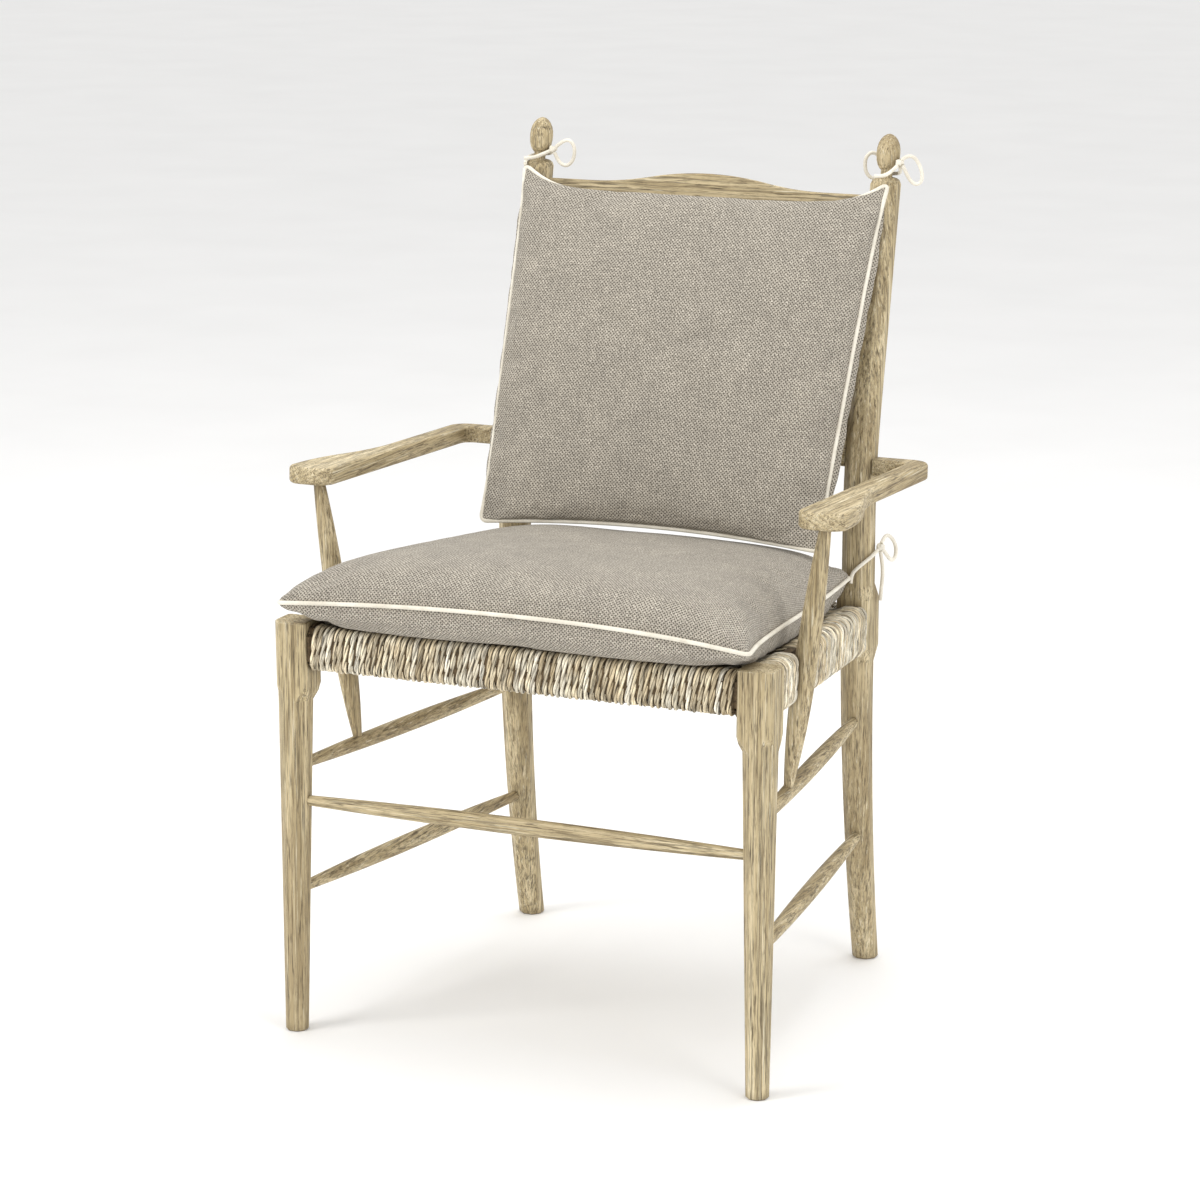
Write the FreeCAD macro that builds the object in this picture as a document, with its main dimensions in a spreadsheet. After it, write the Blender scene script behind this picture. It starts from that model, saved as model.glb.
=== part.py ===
import FreeCAD, Part
import math
import os
import re
import Sketcher

V = FreeCAD.Vector

# A rush-seated ladder-back armchair with a tie-on seat cushion and a tie-on back cushion.
# The chair faces -Y, +X is the sitter's left and +Z is up. Lengths are in millimetres.
# Every sub-part is drawn with Y = 0 at the centres of the front feet and then moved back by
# the layout value centre_back, which puts the origin under the middle of the whole chair.

SIZES = [
    # frame
    ("front_spacing", 570, "front feet, centre to centre"),
    ("rear_spacing", 447, "back posts, centre to centre"),
    ("seat_depth", 470, "front foot centre to back post centre at the seat"),
    ("leg_height", 485, "floor to the top of a front leg"),
    ("post_height", 948, "floor to the shoulder of a back post"),
    ("leg_foot", 25, "front leg across the flats at the floor"),
    ("leg_width", 37, "front leg across the flats below its block"),
    ("leg_flare", 4.5, "outward lean of a front leg's outer face"),
    ("block_width", 41, "square block at the seat, on legs and posts"),
    ("block_outer_cut", 8, "chamfer on the outer front edge of a block"),
    ("block_inner_cut", 3, "chamfer on the other edges of a block"),
    ("leg_block_low", 392, "bottom of the front leg's block"),
    ("post_block_low", 382, "bottom of the back post's block"),
    ("post_block_high", 476, "top of the back post's block"),
    ("tongue_length", 18, "run-out from block to octagon"),
    ("foot_cut", 1.5, "bevel around a foot and a leg top"),
    ("octagon_ease", 1.2, "easing of an octagon's corners"),
    ("block_ease", 0.8, "easing of a block's chamfered corners"),
    ("tongue_swell", 1.2, "fullness half-way along a run-out"),
    ("shoulder_length", 8, "rounding of a back post under its finial"),
    ("post_foot", 29.5, "back post across the flats at the floor"),
    ("post_width", 37, "back post across the flats at the seat"),
    ("post_top", 34, "back post across the flats under the shoulder"),
    ("foot_kick", 45, "how far a rear foot stands behind the post at the seat"),
    ("kick_height", 400, "height where the rear foot's curve starts"),
    ("bend_height", 550, "height where a back post starts to lean"),
    ("bend_length", 130, "height of the bend in a back post"),
    ("back_slope", 0.228, "lean of the upper back post, back per height"),
    # finial
    ("neck_radius", 7, "neck under a finial"),
    ("neck_length", 8, "shoulder to the underside of a finial"),
    ("finial_radius", 14, "egg finial, largest radius"),
    ("finial_height", 43, "egg finial, neck to tip"),
    # seat rails
    ("front_rail_level", 455, "centre height of the seat rails at the front"),
    ("rear_rail_level", 422, "centre height of the seat rails at the back"),
    ("rail_thickness", 22, "all seat rails, across"),
    ("end_rail_depth", 40, "front and back seat rail, tall"),
    ("side_rail_depth", 46, "side seat rail, tall"),
    ("rail_cut", 6, "chamfer along a seat rail"),
    ("rail_tenon_thickness", 10, "seat rail tenon, across"),
    ("rail_tenon_depth", 15, "seat rail tenon, tall"),
    ("rail_tenon_step", 9, "side tenons sit this much above, end tenons below"),
    ("rail_tenon_length", 17, "seat rail tenon, into the leg"),
    # stretchers
    ("front_stretcher_level", 274.5, "front stretcher height"),
    ("upper_stretcher_level", 313, "upper side stretcher height at the front"),
    ("lower_stretcher_level", 167, "lower side stretcher height at the front"),
    ("stretcher_drop", 4, "fall of a side stretcher to the back"),
    ("stretcher_end", 6, "stretcher tenon radius"),
    ("stretcher_middle", 9.8, "stretcher radius at mid length"),
    ("stretcher_short", 1, "stretcher ends short of the legs' centre lines"),
    # back
    ("crest_level", 898, "centre height of the crest rail"),
    ("crest_depth", 58, "crest rail, tall at its ends"),
    ("lower_slat_level", 643, "centre height of the lowest slat"),
    ("slat_depth", 58, "slats, tall at their ends"),
    ("slat_thickness", 13, "crest rail and slats, across"),
    ("slat_edge", 2.5, "rounding along a slat's edges"),
    ("slat_hump", 15, "rise of a slat's top edge at the middle"),
    ("hump_half", 150, "half length of the raised top edge"),
    ("slat_tenon_thickness", 9, "slat tenon, across"),
    ("slat_tenon_cut", 8, "slat tenon, shorter than the slat at top and bottom"),
    ("slat_tenon_length", 14, "slat tenon, into the post"),
    # arms
    ("arm_level", 640, "top of an arm at its front end"),
    ("arm_drop", 13, "fall of an arm's top to the back"),
    ("arm_thickness", 20, "arm, tall"),
    ("arm_inside", 284, "centre plane to the inner edge of an arm"),
    ("arm_width", 25, "arm, across, behind the flare"),
    ("arm_tip_width", 57, "arm, across, at its front end"),
    ("arm_tip", 94, "front of an arm behind the front feet's centres"),
    ("arm_waist", 300, "where the flare of an arm starts"),
    ("arm_tip_round", 20, "corner radius of the arm's front end"),
    ("arm_elbow_outer", 24, "outer radius of the arm's elbow"),
    ("arm_elbow_inner", 11, "inner radius of the arm's elbow"),
    ("arm_edge", 4, "rounding along an arm's edges"),
    ("arm_tenon_width", 13, "arm tenon, across"),
    ("arm_tenon_depth", 12, "arm tenon, tall"),
    ("arm_tenon_length", 15, "arm tenon, into the post"),
    ("tenon_root", 1, "how far an arm's tenon is drawn into the arm"),
    # arm supports
    ("support_foot_back", 129, "support foot behind the front feet's centres"),
    ("support_top_back", 123.5, "support top behind the front feet's centres"),
    ("support_top_out", 310.5, "support top from the centre plane"),
    ("support_top_radius", 6.5, "support at the arm"),
    ("support_foot_radius", 5.5, "support at the stretcher"),
    ("support_middle", 13, "support, largest radius, beside the seat rail"),
    ("support_top_socket", 12, "support end, into the arm"),
    ("support_foot_socket", 3, "support end, below the stretcher's centre line"),
    ("screw_radius", 2, "wood screw shank"),
    ("screw_head_radius", 4, "wood screw head"),
    ("screw_length", 34, "wood screw, overall"),
    # rush
    ("rush_wrap", 6.5, "thickness of the rush around a rail"),
    ("rush_round", 11, "chamfer along a roll of rush"),
    ("rush_panel", 52, "thickness of the rush between the rails"),
    # seat cushion
    ("cushion_front_half", 284, "half width of the seat cushion at the front"),
    ("cushion_rear_half", 222, "half width of the seat cushion at the back"),
    ("cushion_overhang", 34, "seat cushion in front of the front feet's centres"),
    ("cushion_rear_gap", 4, "seat cushion in front of the back posts"),
    ("cushion_under", 26, "seat cushion below its piping"),
    ("cushion_crown", 46, "seat cushion above its piping"),
    ("cushion_round", 60, "seat cushion's inset at the top"),
    ("cushion_tuck", 30, "seat cushion's inset at the bottom"),
    # back cushion
    ("pillow_low_half", 216, "half width of the back cushion at the bottom"),
    ("pillow_high_half", 233, "half width of the back cushion at the top"),
    ("pillow_low_back", 357, "back cushion's bottom edge behind the front feet"),
    ("pillow_length", 441, "back cushion, bottom edge to top edge"),
    ("pillow_lean", 22, "back cushion's lean in degrees"),
    ("pillow_front", 34, "back cushion in front of its piping"),
    ("pillow_rear", 22, "back cushion behind its piping"),
    ("pillow_round", 62, "back cushion's inset at both faces"),
    ("cushion_corner", 12, "rounding of both cushions' corners"),
    ("fabric", 1.6, "cover fabric"),
    ("rim", 3, "half height of a cushion's edge at the piping"),
    ("piping_radius", 2.4, "piping around both cushions"),
    # ties
    ("tie_radius", 2.2, "cushion tie"),
    ("knot_radius", 6, "knot of a bow"),
    # clearances
    ("joint_gap", 0.1, "a tenon in its mortise, each side"),
    ("mortise_mouth", 5, "how far outside its face a mortise's cut starts"),
    ("shoulder_gap", 0.2, "a shoulder against its face"),
    ("soft_gap", 0.3, "rush and cushions from what they lie on"),
]

# The rear posts' centre line, as formulas of a height z.
KICK = "foot_kick * pow(max(0; 1 - ({z}) / kick_height); 2)"
LEAN = (
    "back_slope * (({z}) < bend_height + bend_length"
    " ? pow(max(0; ({z}) - bend_height); 2) / (2 * bend_length)"
    " : ({z}) - bend_height - bend_length / 2)"
)


def post_back(z):
    """Distance of a back post's centre behind the front feet's centres, at height z."""
    return f"(seat_depth + {KICK.format(z=z)} + {LEAN.format(z=z)})"


def post_across(z):
    """Back post across the flats at height z."""
    low = f"(post_foot + (post_width - post_foot) * ({z}) / post_block_low)"
    high = (
        "(post_width + (post_top - post_width)"
        f" * (({z}) - post_block_high) / (post_height - post_block_high))"
    )
    return f"(({z}) < post_block_high ? {low} : {high})"


def leg_across(z):
    """Front leg across the flats at height z, below its block."""
    return f"(leg_foot + (leg_width - leg_foot) * ({z}) / leg_block_low)"


def leg_out(z, across):
    """Distance of a front leg's centre from the centre plane at height z."""
    return f"(front_spacing / 2 + leg_foot / 2 + leg_flare * ({z}) / leg_height - ({across}) / 2)"


def leg_back(across):
    """Distance of a front leg's centre behind the front feet's centres."""
    return f"(({across}) / 2 - leg_foot / 2)"


LAYOUT = [
    ("leg_block_out", leg_out("front_rail_level", "block_width")),
    ("leg_block_back", leg_back("block_width")),
    ("leg_block_inner", "leg_block_out - block_width / 2"),
    ("leg_block_rear", "leg_block_back + block_width / 2"),
    ("post_out", "rear_spacing / 2"),
    ("post_block_inner", "rear_spacing / 2 - block_width / 2"),
    ("post_block_front", "seat_depth - block_width / 2"),
    ("finial_back", post_back("post_height + neck_length + finial_height / 2")),
    ("centre_back", "(finial_back + finial_radius - cushion_overhang - 2 * piping_radius - soft_gap) / 2"),
    ("arm_rear_level", "arm_level - arm_drop"),
    ("arm_rear_back", post_back("arm_level - arm_drop - arm_thickness / 2")),
    ("arm_tilt", "atan(arm_drop / (arm_rear_back - arm_tip)) / 1deg"),
    ("middle_slat_level", "(crest_level + lower_slat_level) / 2"),
    ("cushion_rear", "post_block_front - cushion_rear_gap"),
    ("seat_fall", "(front_rail_level - rear_rail_level) / (seat_depth - leg_block_back)"),
    ("seat_tilt", "atan(seat_fall) / 1deg"),
    (
        "cushion_bed",
        "front_rail_level + end_rail_depth / 2 + rush_wrap + soft_gap"
        " + seat_fall * (rail_thickness / 2 + rush_wrap)",
    ),
    (
        "cushion_level",
        "cushion_bed + seat_fall * (cushion_overhang + leg_block_back)"
        " + cushion_under / cos(seat_tilt * 1deg)",
    ),
    ("cushion_length", "(cushion_rear + cushion_overhang) / cos(seat_tilt * 1deg)"),
    (
        "pillow_low_level",
        "cushion_bed - seat_fall * (pillow_low_back - leg_block_back)"
        " + (cushion_under + cushion_crown) / cos(seat_tilt * 1deg)"
        " + 2 * piping_radius + 2 * soft_gap",
    ),
    ("rail_line_length", "seat_depth - leg_block_back"),
]

doc = FreeCAD.newDocument("Armchair")


def make_sheet(label, rows):
    sheet = doc.addObject("Spreadsheet::Sheet", label)
    for number, row in enumerate(rows, start=1):
        sheet.set(f"A{number}", row[0])
        sheet.set(f"B{number}", row[1] if isinstance(row[1], str) else str(row[1]))
        sheet.setAlias(f"B{number}", row[0])
        if len(row) > 2:
            sheet.set(f"C{number}", row[2])
    return sheet


sizes = make_sheet("Sizes", SIZES)
size_names = {row[0] for row in SIZES}
layout_names = {row[0] for row in LAYOUT}


def bound(formula, inside_layout=False):
    """The formula with every size and layout value named by its sheet."""
    words = re.split(r"([A-Za-z_]+)", str(formula))
    for at, word in enumerate(words):
        if word in size_names:
            words[at] = "Sizes." + word
        elif word in layout_names and not inside_layout:
            words[at] = "Layout." + word
    return "".join(words)


layout = make_sheet("Layout", [(name, "=" + bound(how, True)) for name, how in LAYOUT])
doc.recompute()


def value(formula):
    """The number that a formula gives with the sheet's present sizes."""
    return float(layout.evalExpression(bound(formula)))


def bind(thing, formulas):
    for name, formula in formulas.items():
        thing.setExpression(name, bound(formula))


pieces = []


def new_body(label, base=None, rotation=None):
    """An empty body, moved back with the whole chair or set at its own place."""
    body = doc.addObject("PartDesign::Body", label)
    body.Label = label
    if base is None:
        bind(body, {"Placement.Base.y": "-centre_back"})
    else:
        body.Placement = FreeCAD.Placement(base - V(0, value("centre_back"), 0), rotation)
    pieces.append(body)
    return body


def plane_of(body, role):
    return next(item for item in body.Origin.OriginFeatures if item.Role == role)


def sketch(body, name, role, outline, offset="0"):
    """A closed outline whose corners are all bound to formulas.

    Each entry is (x, y) for a straight run to the next corner, or (x, y, via_x, via_y) for an
    arc to the next corner through the via point. The offset is a formula along the plane's
    normal, or a placement.
    """
    made = body.newObject("Sketcher::SketchObject", name)
    made.AttachmentSupport = [(plane_of(body, role), "")]
    made.MapMode = "FlatFace"
    if isinstance(offset, str):
        bind(made, {"AttachmentOffset.Base.z": offset})
    else:
        made.AttachmentOffset = offset
    corners = [V(value(entry[0]), value(entry[1]), 0) for entry in outline]
    arcs = []
    for at, entry in enumerate(outline):
        start, end = corners[at], corners[(at + 1) % len(corners)]
        if len(entry) == 4:
            via = V(value(entry[2]), value(entry[3]), 0)
            made.addGeometry(Part.Arc(start, via, end))
            arcs.append((at, entry[2:], via))
        else:
            made.addGeometry(Part.LineSegment(start, end))
    ends = []
    for at in range(len(outline)):
        # An arc is stored counter-clockwise, so its first point may be the run's end.
        first = made.getPoint(at, 1)
        ends.append((1, 2) if first.isEqual(corners[at], 1e-6) else (2, 1))
    for at in range(len(outline)):
        after = (at + 1) % len(outline)
        made.addConstraint(
            Sketcher.Constraint("Coincident", at, ends[at][1], after, ends[after][0])
        )
    for at, entry in enumerate(outline):
        pin_point(made, at, ends[at][0], entry[:2], corners[at])
    for at, via_formulas, via in arcs:
        point = made.addGeometry(Part.Point(via), True)
        pin_point(made, point, 1, via_formulas, via)
        made.addConstraint(Sketcher.Constraint("PointOnObject", point, 1, at))
    return made


def pin_point(made, geometry, end, formulas, spot):
    for kind, formula, number in zip(("DistanceX", "DistanceY"), formulas, (spot.x, spot.y)):
        index = made.addConstraint(Sketcher.Constraint(kind, -1, 1, geometry, end, number))
        made.setExpression(f"Constraints[{index}]", bound(formula))


def loft(body, name, sections, kind="Additive", ruled=True):
    made = body.newObject(f"PartDesign::{kind}Loft", name)
    made.Profile = sections[0]
    made.Sections = sections[1:]
    made.Ruled = ruled
    return made


def pad_across(body, name, profile, length):
    """A pad of the given length, half to each side of its sketch."""
    made = body.newObject("PartDesign::Pad", name)
    made.Profile = profile
    made.SideType = "Symmetric"
    bind(made, {"Length": length})
    return made


def revolve(body, name, profile):
    made = body.newObject("PartDesign::Revolution", name)
    made.Profile = profile
    made.ReferenceAxis = (profile, ["V_Axis"])
    made.Angle = 360
    return made


def cut_box(body, name, low, lengths):
    """A square-cornered mortise or notch, from its low corner, in the body's own frame."""
    made = body.newObject("PartDesign::SubtractiveBox", name)
    made.AttachmentSupport = [(plane_of(body, "XY_Plane"), "")]
    made.MapMode = "FlatFace"
    bind(made, {f"AttachmentOffset.Base.{axis}": low[at] for at, axis in enumerate("xyz")})
    bind(made, dict(zip(("Length", "Width", "Height"), lengths)))
    return made


def cut_placed_box(body, name, place, lengths):
    """The same at a turned place, centred on it."""
    made = body.newObject("PartDesign::SubtractiveBox", name)
    made.AttachmentSupport = [(plane_of(body, "XY_Plane"), "")]
    made.MapMode = "FlatFace"
    bind(made, dict(zip(("Length", "Width", "Height"), lengths)))
    centre = V(*(-value(length) / 2 for length in lengths))
    made.AttachmentOffset = place * FreeCAD.Placement(centre, FreeCAD.Rotation())
    return made


def cut_cylinder(body, name, start, towards, radius, height):
    """A round socket from start in the direction of towards, in the body's own frame."""
    made = body.newObject("PartDesign::SubtractiveCylinder", name)
    made.AttachmentSupport = [(plane_of(body, "XY_Plane"), "")]
    made.MapMode = "FlatFace"
    bind(made, {"Radius": radius, "Height": height})
    turn = FreeCAD.Rotation(V(0, 0, 1), towards - start)
    made.AttachmentOffset = FreeCAD.Placement(start, turn)
    return made


# ---------------------------------------------------------------- sections


def ring(centre_x, centre_y, across, cuts, ease, side=1):
    """A square with its four corners cut and each new corner eased.

    The cuts are given for the outer front corner and for the other three.
    """
    half = f"({across}) / 2"
    points = []
    for turn in range(4):
        cut = cuts[0] if turn == 0 else cuts[1]
        slant = f"({ease}) * {SLANT}"
        quarter = [
            (f"{half} - ({cut}) - ({ease})", f"-{half}"),
            (f"{half} - ({cut}) + {slant}", f"-{half} + {slant}"),
            (f"{half} - {slant}", f"-{half} + ({cut}) - {slant}"),
            (half, f"-{half} + ({cut}) + ({ease})"),
        ]
        for x, y in quarter:
            u, v = [(x, y), (f"-({y})", x), (f"-({x})", f"-({y})"), (y, f"-({x})")][turn]
            points.append((f"{side} * (({centre_x}) + {u})", f"({centre_y}) + {v}"))
    return points


# Half the square root of two, and what a quarter turn's middle lies short of its corner.
SLANT = 0.7071
ARC_SHORT = 0.2929


def octagon_cut(across):
    return f"({across}) * {ARC_SHORT}"


def octagon(centre_x, centre_y, across, side=1, ease="octagon_ease"):
    cut = octagon_cut(across)
    return ring(centre_x, centre_y, across, (cut, cut), ease, side)


def block_ring(centre_x, centre_y, across, side=1, ease="block_ease"):
    return ring(centre_x, centre_y, across, ("block_outer_cut", "block_inner_cut"), ease, side)


def cut_rectangle(x, y, width, depth, cut):
    """A rectangle about a centre with its four corners cut off."""
    left, right = f"({x}) - ({width}) / 2", f"({x}) + ({width}) / 2"
    low, high = f"({y}) - ({depth}) / 2", f"({y}) + ({depth}) / 2"
    return [
        (f"{left} + {cut}", low),
        (f"{right} - {cut}", low),
        (right, f"{low} + {cut}"),
        (right, f"{high} - {cut}"),
        (f"{right} - {cut}", high),
        (f"{left} + {cut}", high),
        (left, f"{high} - {cut}"),
        (left, f"{low} + {cut}"),
    ]


def rectangle(x, y, width, depth):
    left, right = f"({x}) - ({width}) / 2", f"({x}) + ({width}) / 2"
    low, high = f"({y}) - ({depth}) / 2", f"({y}) + ({depth}) / 2"
    return [(left, low), (right, low), (right, high), (left, high)]


# ---------------------------------------------------------------- legs and posts

SIDES = (("left", 1), ("right", -1))


def leg_centre(side, z):
    """A front leg's centre at height z, before the chair is moved back."""
    across = leg_across(z)
    return V(side * value(leg_out(z, across)), value(leg_back(across)), value(z))


def post_centre(side, z):
    return V(side * value("post_out"), value(post_back(z)), value(z))


def side_ends(level):
    """Heights of a side stretcher at the front leg and at the back post."""
    return level, f"{level} - stretcher_drop"


def side_line(y):
    """Where a side seat rail's centre line is at depth y: its distance out and its height."""
    share = f"(({y}) - leg_block_back) / (seat_depth - leg_block_back)"
    out = f"leg_block_out + (post_out - leg_block_out) * ({share})"
    level = f"front_rail_level - seat_fall * (({y}) - leg_block_back)"
    return out, level


def side_section(body, name, side, y, width, depth, cut, step="0"):
    """A cross-section of a side seat rail, or of what goes round it, at depth y."""
    out, level = side_line(y)
    x = f"{side} * ({out})"
    z = f"({level}) + {step}"
    points = rectangle(x, z, width, depth) if cut is None else cut_rectangle(x, z, width, depth, cut)
    return sketch(body, name, "XZ_Plane", points, f"-({y})")


def cut_side_mortise(body, side, low_y, high_y):
    """The mortise for a side seat rail's tenon, between two depths."""
    width = "rail_tenon_thickness + 2 * joint_gap"
    depth = "rail_tenon_depth + 2 * joint_gap"
    ends = [
        side_section(body, f"SideMortise{at}", side, y, width, depth, None, "rail_tenon_step")
        for at, y in enumerate((low_y, high_y))
    ]
    loft(body, "SideMortise", ends, "Subtractive")


def cut_end_mortise(body, side, x_low, centre_y, level):
    """The mortise for the front or back seat rail's tenon, open towards the chair's middle."""
    lengths = (
        "rail_tenon_length + 2 * joint_gap + mortise_mouth",
        "rail_tenon_thickness + 2 * joint_gap",
        "rail_tenon_depth + 2 * joint_gap",
    )
    reach = f"({x_low} + rail_tenon_length + joint_gap)"
    start = f"{x_low} - joint_gap - mortise_mouth" if side > 0 else f"-{reach}"
    low = (
        start,
        f"{centre_y} - rail_tenon_thickness / 2 - joint_gap",
        f"{level} - rail_tenon_step - rail_tenon_depth / 2 - joint_gap",
    )
    cut_box(body, "EndMortise", low, lengths)


def make_front_leg(name, side):
    body = new_body(f"front_leg_{name}")
    low = "leg_block_low"
    levels = [
        ("0", leg_across("0"), "foot_cut"),
        ("foot_cut", leg_across("foot_cut"), "0"),
        (low, leg_across(low), "0"),
    ]
    shaft = []
    for at, (z, across, bevel) in enumerate(levels):
        points = octagon(leg_out(z, across), leg_back(across), f"{across} - 2 * {bevel}", side)
        shaft.append(sketch(body, f"Shaft{at}", "XY_Plane", points, z))
    loft(body, "Shaft", shaft)
    top = "leg_height - foot_cut"
    levels = [
        (low, leg_across(low), None),
        (f"{low} + tongue_length / 2", "(leg_width + block_width) / 2 + tongue_swell", "octagon"),
        (f"{low} + tongue_length", "block_width", "0"),
        (top, "block_width", "0"),
        ("leg_height", "block_width", "foot_cut"),
    ]
    block = []
    for at, (z, across, bevel) in enumerate(levels):
        x, y = leg_out(z, across), leg_back(across)
        if bevel is None:
            points = octagon(x, y, across, side)
        elif bevel == "octagon":
            cut = octagon_cut("leg_width")
            inner_cut = f"({cut} + block_inner_cut) / 2"
            points = ring(x, y, across, (cut, inner_cut), "block_ease", side)
        else:
            points = block_ring(x, y, f"{across} - 2 * {bevel}", side)
        block.append(sketch(body, f"Block{at}", "XY_Plane", points, z))
    loft(body, "Block", block)
    cut_end_mortise(body, side, "leg_block_inner", "leg_block_back", "front_rail_level")
    rear = "leg_block_rear"
    cut_side_mortise(body, side, f"{rear} - rail_tenon_length - 2 * joint_gap", f"{rear} + mortise_mouth")
    across = leg_centre(side, "front_stretcher_level")
    other = leg_centre(-side, "front_stretcher_level")
    reach = "stretcher_end + joint_gap"
    cut_cylinder(body, "FrontSocket", across, other, reach, "block_width")
    for level in ("upper_stretcher_level", "lower_stretcher_level"):
        front, back = side_ends(level)
        start, end = leg_centre(side, front), post_centre(side, back)
        cut_cylinder(body, f"Socket_{level}", start, end, reach, "block_width")
    return body


# Sections drawn along a back post below and above its block.
LOW_SECTIONS = 4
HIGH_SECTIONS = 8
# A post's shoulder: shares of its length below the top, and of the post's width.
SHOULDER = ((0.44, 0.9), (0.125, 0.7), (0, 0.48))


def make_back_post(name, side):
    body = new_body(f"back_post_{name}")
    out = "post_out"

    def section(label, z, across, shape=octagon):
        points = shape(out, post_back(z), across, side)
        return sketch(body, label, "XY_Plane", points, z)

    low, high = "post_block_low", "post_block_high"
    foot = [
        section("Foot0", "0", "post_foot - 2 * foot_cut"),
        section("Foot1", "foot_cut", post_across("foot_cut")),
    ]
    loft(body, "FootBevel", foot)
    shaft = [foot[1]]
    for at in range(1, LOW_SECTIONS + 1):
        z = f"foot_cut + ({low} - foot_cut) * {at} / {LOW_SECTIONS}"
        shaft.append(section(f"Shaft{at}", z, post_across(z)))
    loft(body, "Shaft", shaft, ruled=False)
    block = [
        shaft[-1],
        section("Block1", f"{low} + tongue_length", "block_width", block_ring),
        section("Block2", f"{high} - tongue_length", "block_width", block_ring),
        section("Block3", high, "post_width"),
    ]
    loft(body, "Block", block)
    upper = [block[-1]]
    for at in range(1, HIGH_SECTIONS + 1):
        z = f"{high} + (post_height - shoulder_length - {high}) * {at} / {HIGH_SECTIONS}"
        upper.append(section(f"Upper{at}", z, post_across(z)))
    loft(body, "Upper", upper, ruled=False)
    shoulder = [upper[-1]]
    for at, (drop, share) in enumerate(SHOULDER):
        z = f"post_height - {drop} * shoulder_length"
        shoulder.append(section(f"Shoulder{at}", z, f"post_top * {share}"))
    loft(body, "Shoulder", shoulder)
    add_finial(body, side)
    rear = "post_block_front"
    reach = "rail_tenon_length + 2 * joint_gap"
    cut_side_mortise(body, side, f"{rear} - mortise_mouth", f"{rear} + {reach}")
    cut_end_mortise(body, side, "post_block_inner", "seat_depth", "rear_rail_level")
    for level in ("upper_stretcher_level", "lower_stretcher_level"):
        front, back = side_ends(level)
        start, end = post_centre(side, back), leg_centre(side, front)
        reach = "stretcher_end + joint_gap"
        cut_cylinder(body, f"Socket_{level}", start, end, reach, "block_width")
    for name, level in SLAT_LEVELS:
        lengths = (
            "2 * slat_tenon_length + 2 * joint_gap",
            "slat_tenon_thickness + 2 * joint_gap",
            f"{slat_depth(name)} - 2 * slat_tenon_cut + 2 * joint_gap",
        )
        face = side * value(slat_reach(level))
        place = slat_place(level) * FreeCAD.Placement(V(face, 0, 0), FreeCAD.Rotation())
        cut_placed_box(body, f"Mortise_{name}", place, lengths)
    face = side * value(arm_shoulder())
    place = arm_place() * FreeCAD.Placement(
        V(face, 0, -value("arm_thickness") / 2), FreeCAD.Rotation()
    )
    lengths = (
        "2 * arm_tenon_length + 2 * joint_gap",
        "arm_tenon_width + 2 * joint_gap",
        "arm_tenon_depth + 2 * joint_gap",
    )
    cut_placed_box(body, "ArmMortise", place, lengths)
    return body


# The egg's outline: shares of its height and of its largest radius.
EGG = (
    (0, 0.5),
    (0.05, 0.66),
    (0.14, 0.83),
    (0.26, 0.94),
    (0.38, 0.99),
    (0.5, 1),
    (0.62, 0.97),
    (0.74, 0.88),
    (0.85, 0.71),
    (0.93, 0.5),
    (0.98, 0.27),
    (1, 0.06),
    (1, 0),
)


def add_finial(body, side):
    """The turned neck and egg on a post's end, leaning with the post."""
    outline = [("0", "-neck_length"), ("neck_radius", "-neck_length")]
    for height, share in EGG:
        radius = f"max({share} * finial_radius; {1 - height} * neck_radius)"
        outline.append((radius if share else "0", f"neck_length + {height} * finial_height"))
    x, y, z = post_centre(side, "post_height")
    lean = value("atan(back_slope) / 1deg")
    place = FreeCAD.Placement(V(x, z, -y), FreeCAD.Rotation(V(1, 0, 0), -lean))
    revolve(body, "Finial", sketch(body, "FinialOutline", "XZ_Plane", outline, place))


# ---------------------------------------------------------------- seat rails


def make_end_rail(label, centre_y, level, inner):
    """The front or the back seat rail, between the blocks of two legs."""
    body = new_body(label)
    outline = cut_rectangle(centre_y, level, "rail_thickness", "end_rail_depth", "rail_cut")
    profile = sketch(body, "Section", "YZ_Plane", outline)
    pad_across(body, "Rail", profile, f"2 * ({inner} - shoulder_gap)")
    tenon = rectangle(
        centre_y, f"{level} - rail_tenon_step", "rail_tenon_thickness", "rail_tenon_depth"
    )
    profile = sketch(body, "TenonSection", "YZ_Plane", tenon)
    pad_across(body, "Tenons", profile, f"2 * ({inner} + rail_tenon_length)")
    return body


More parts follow.
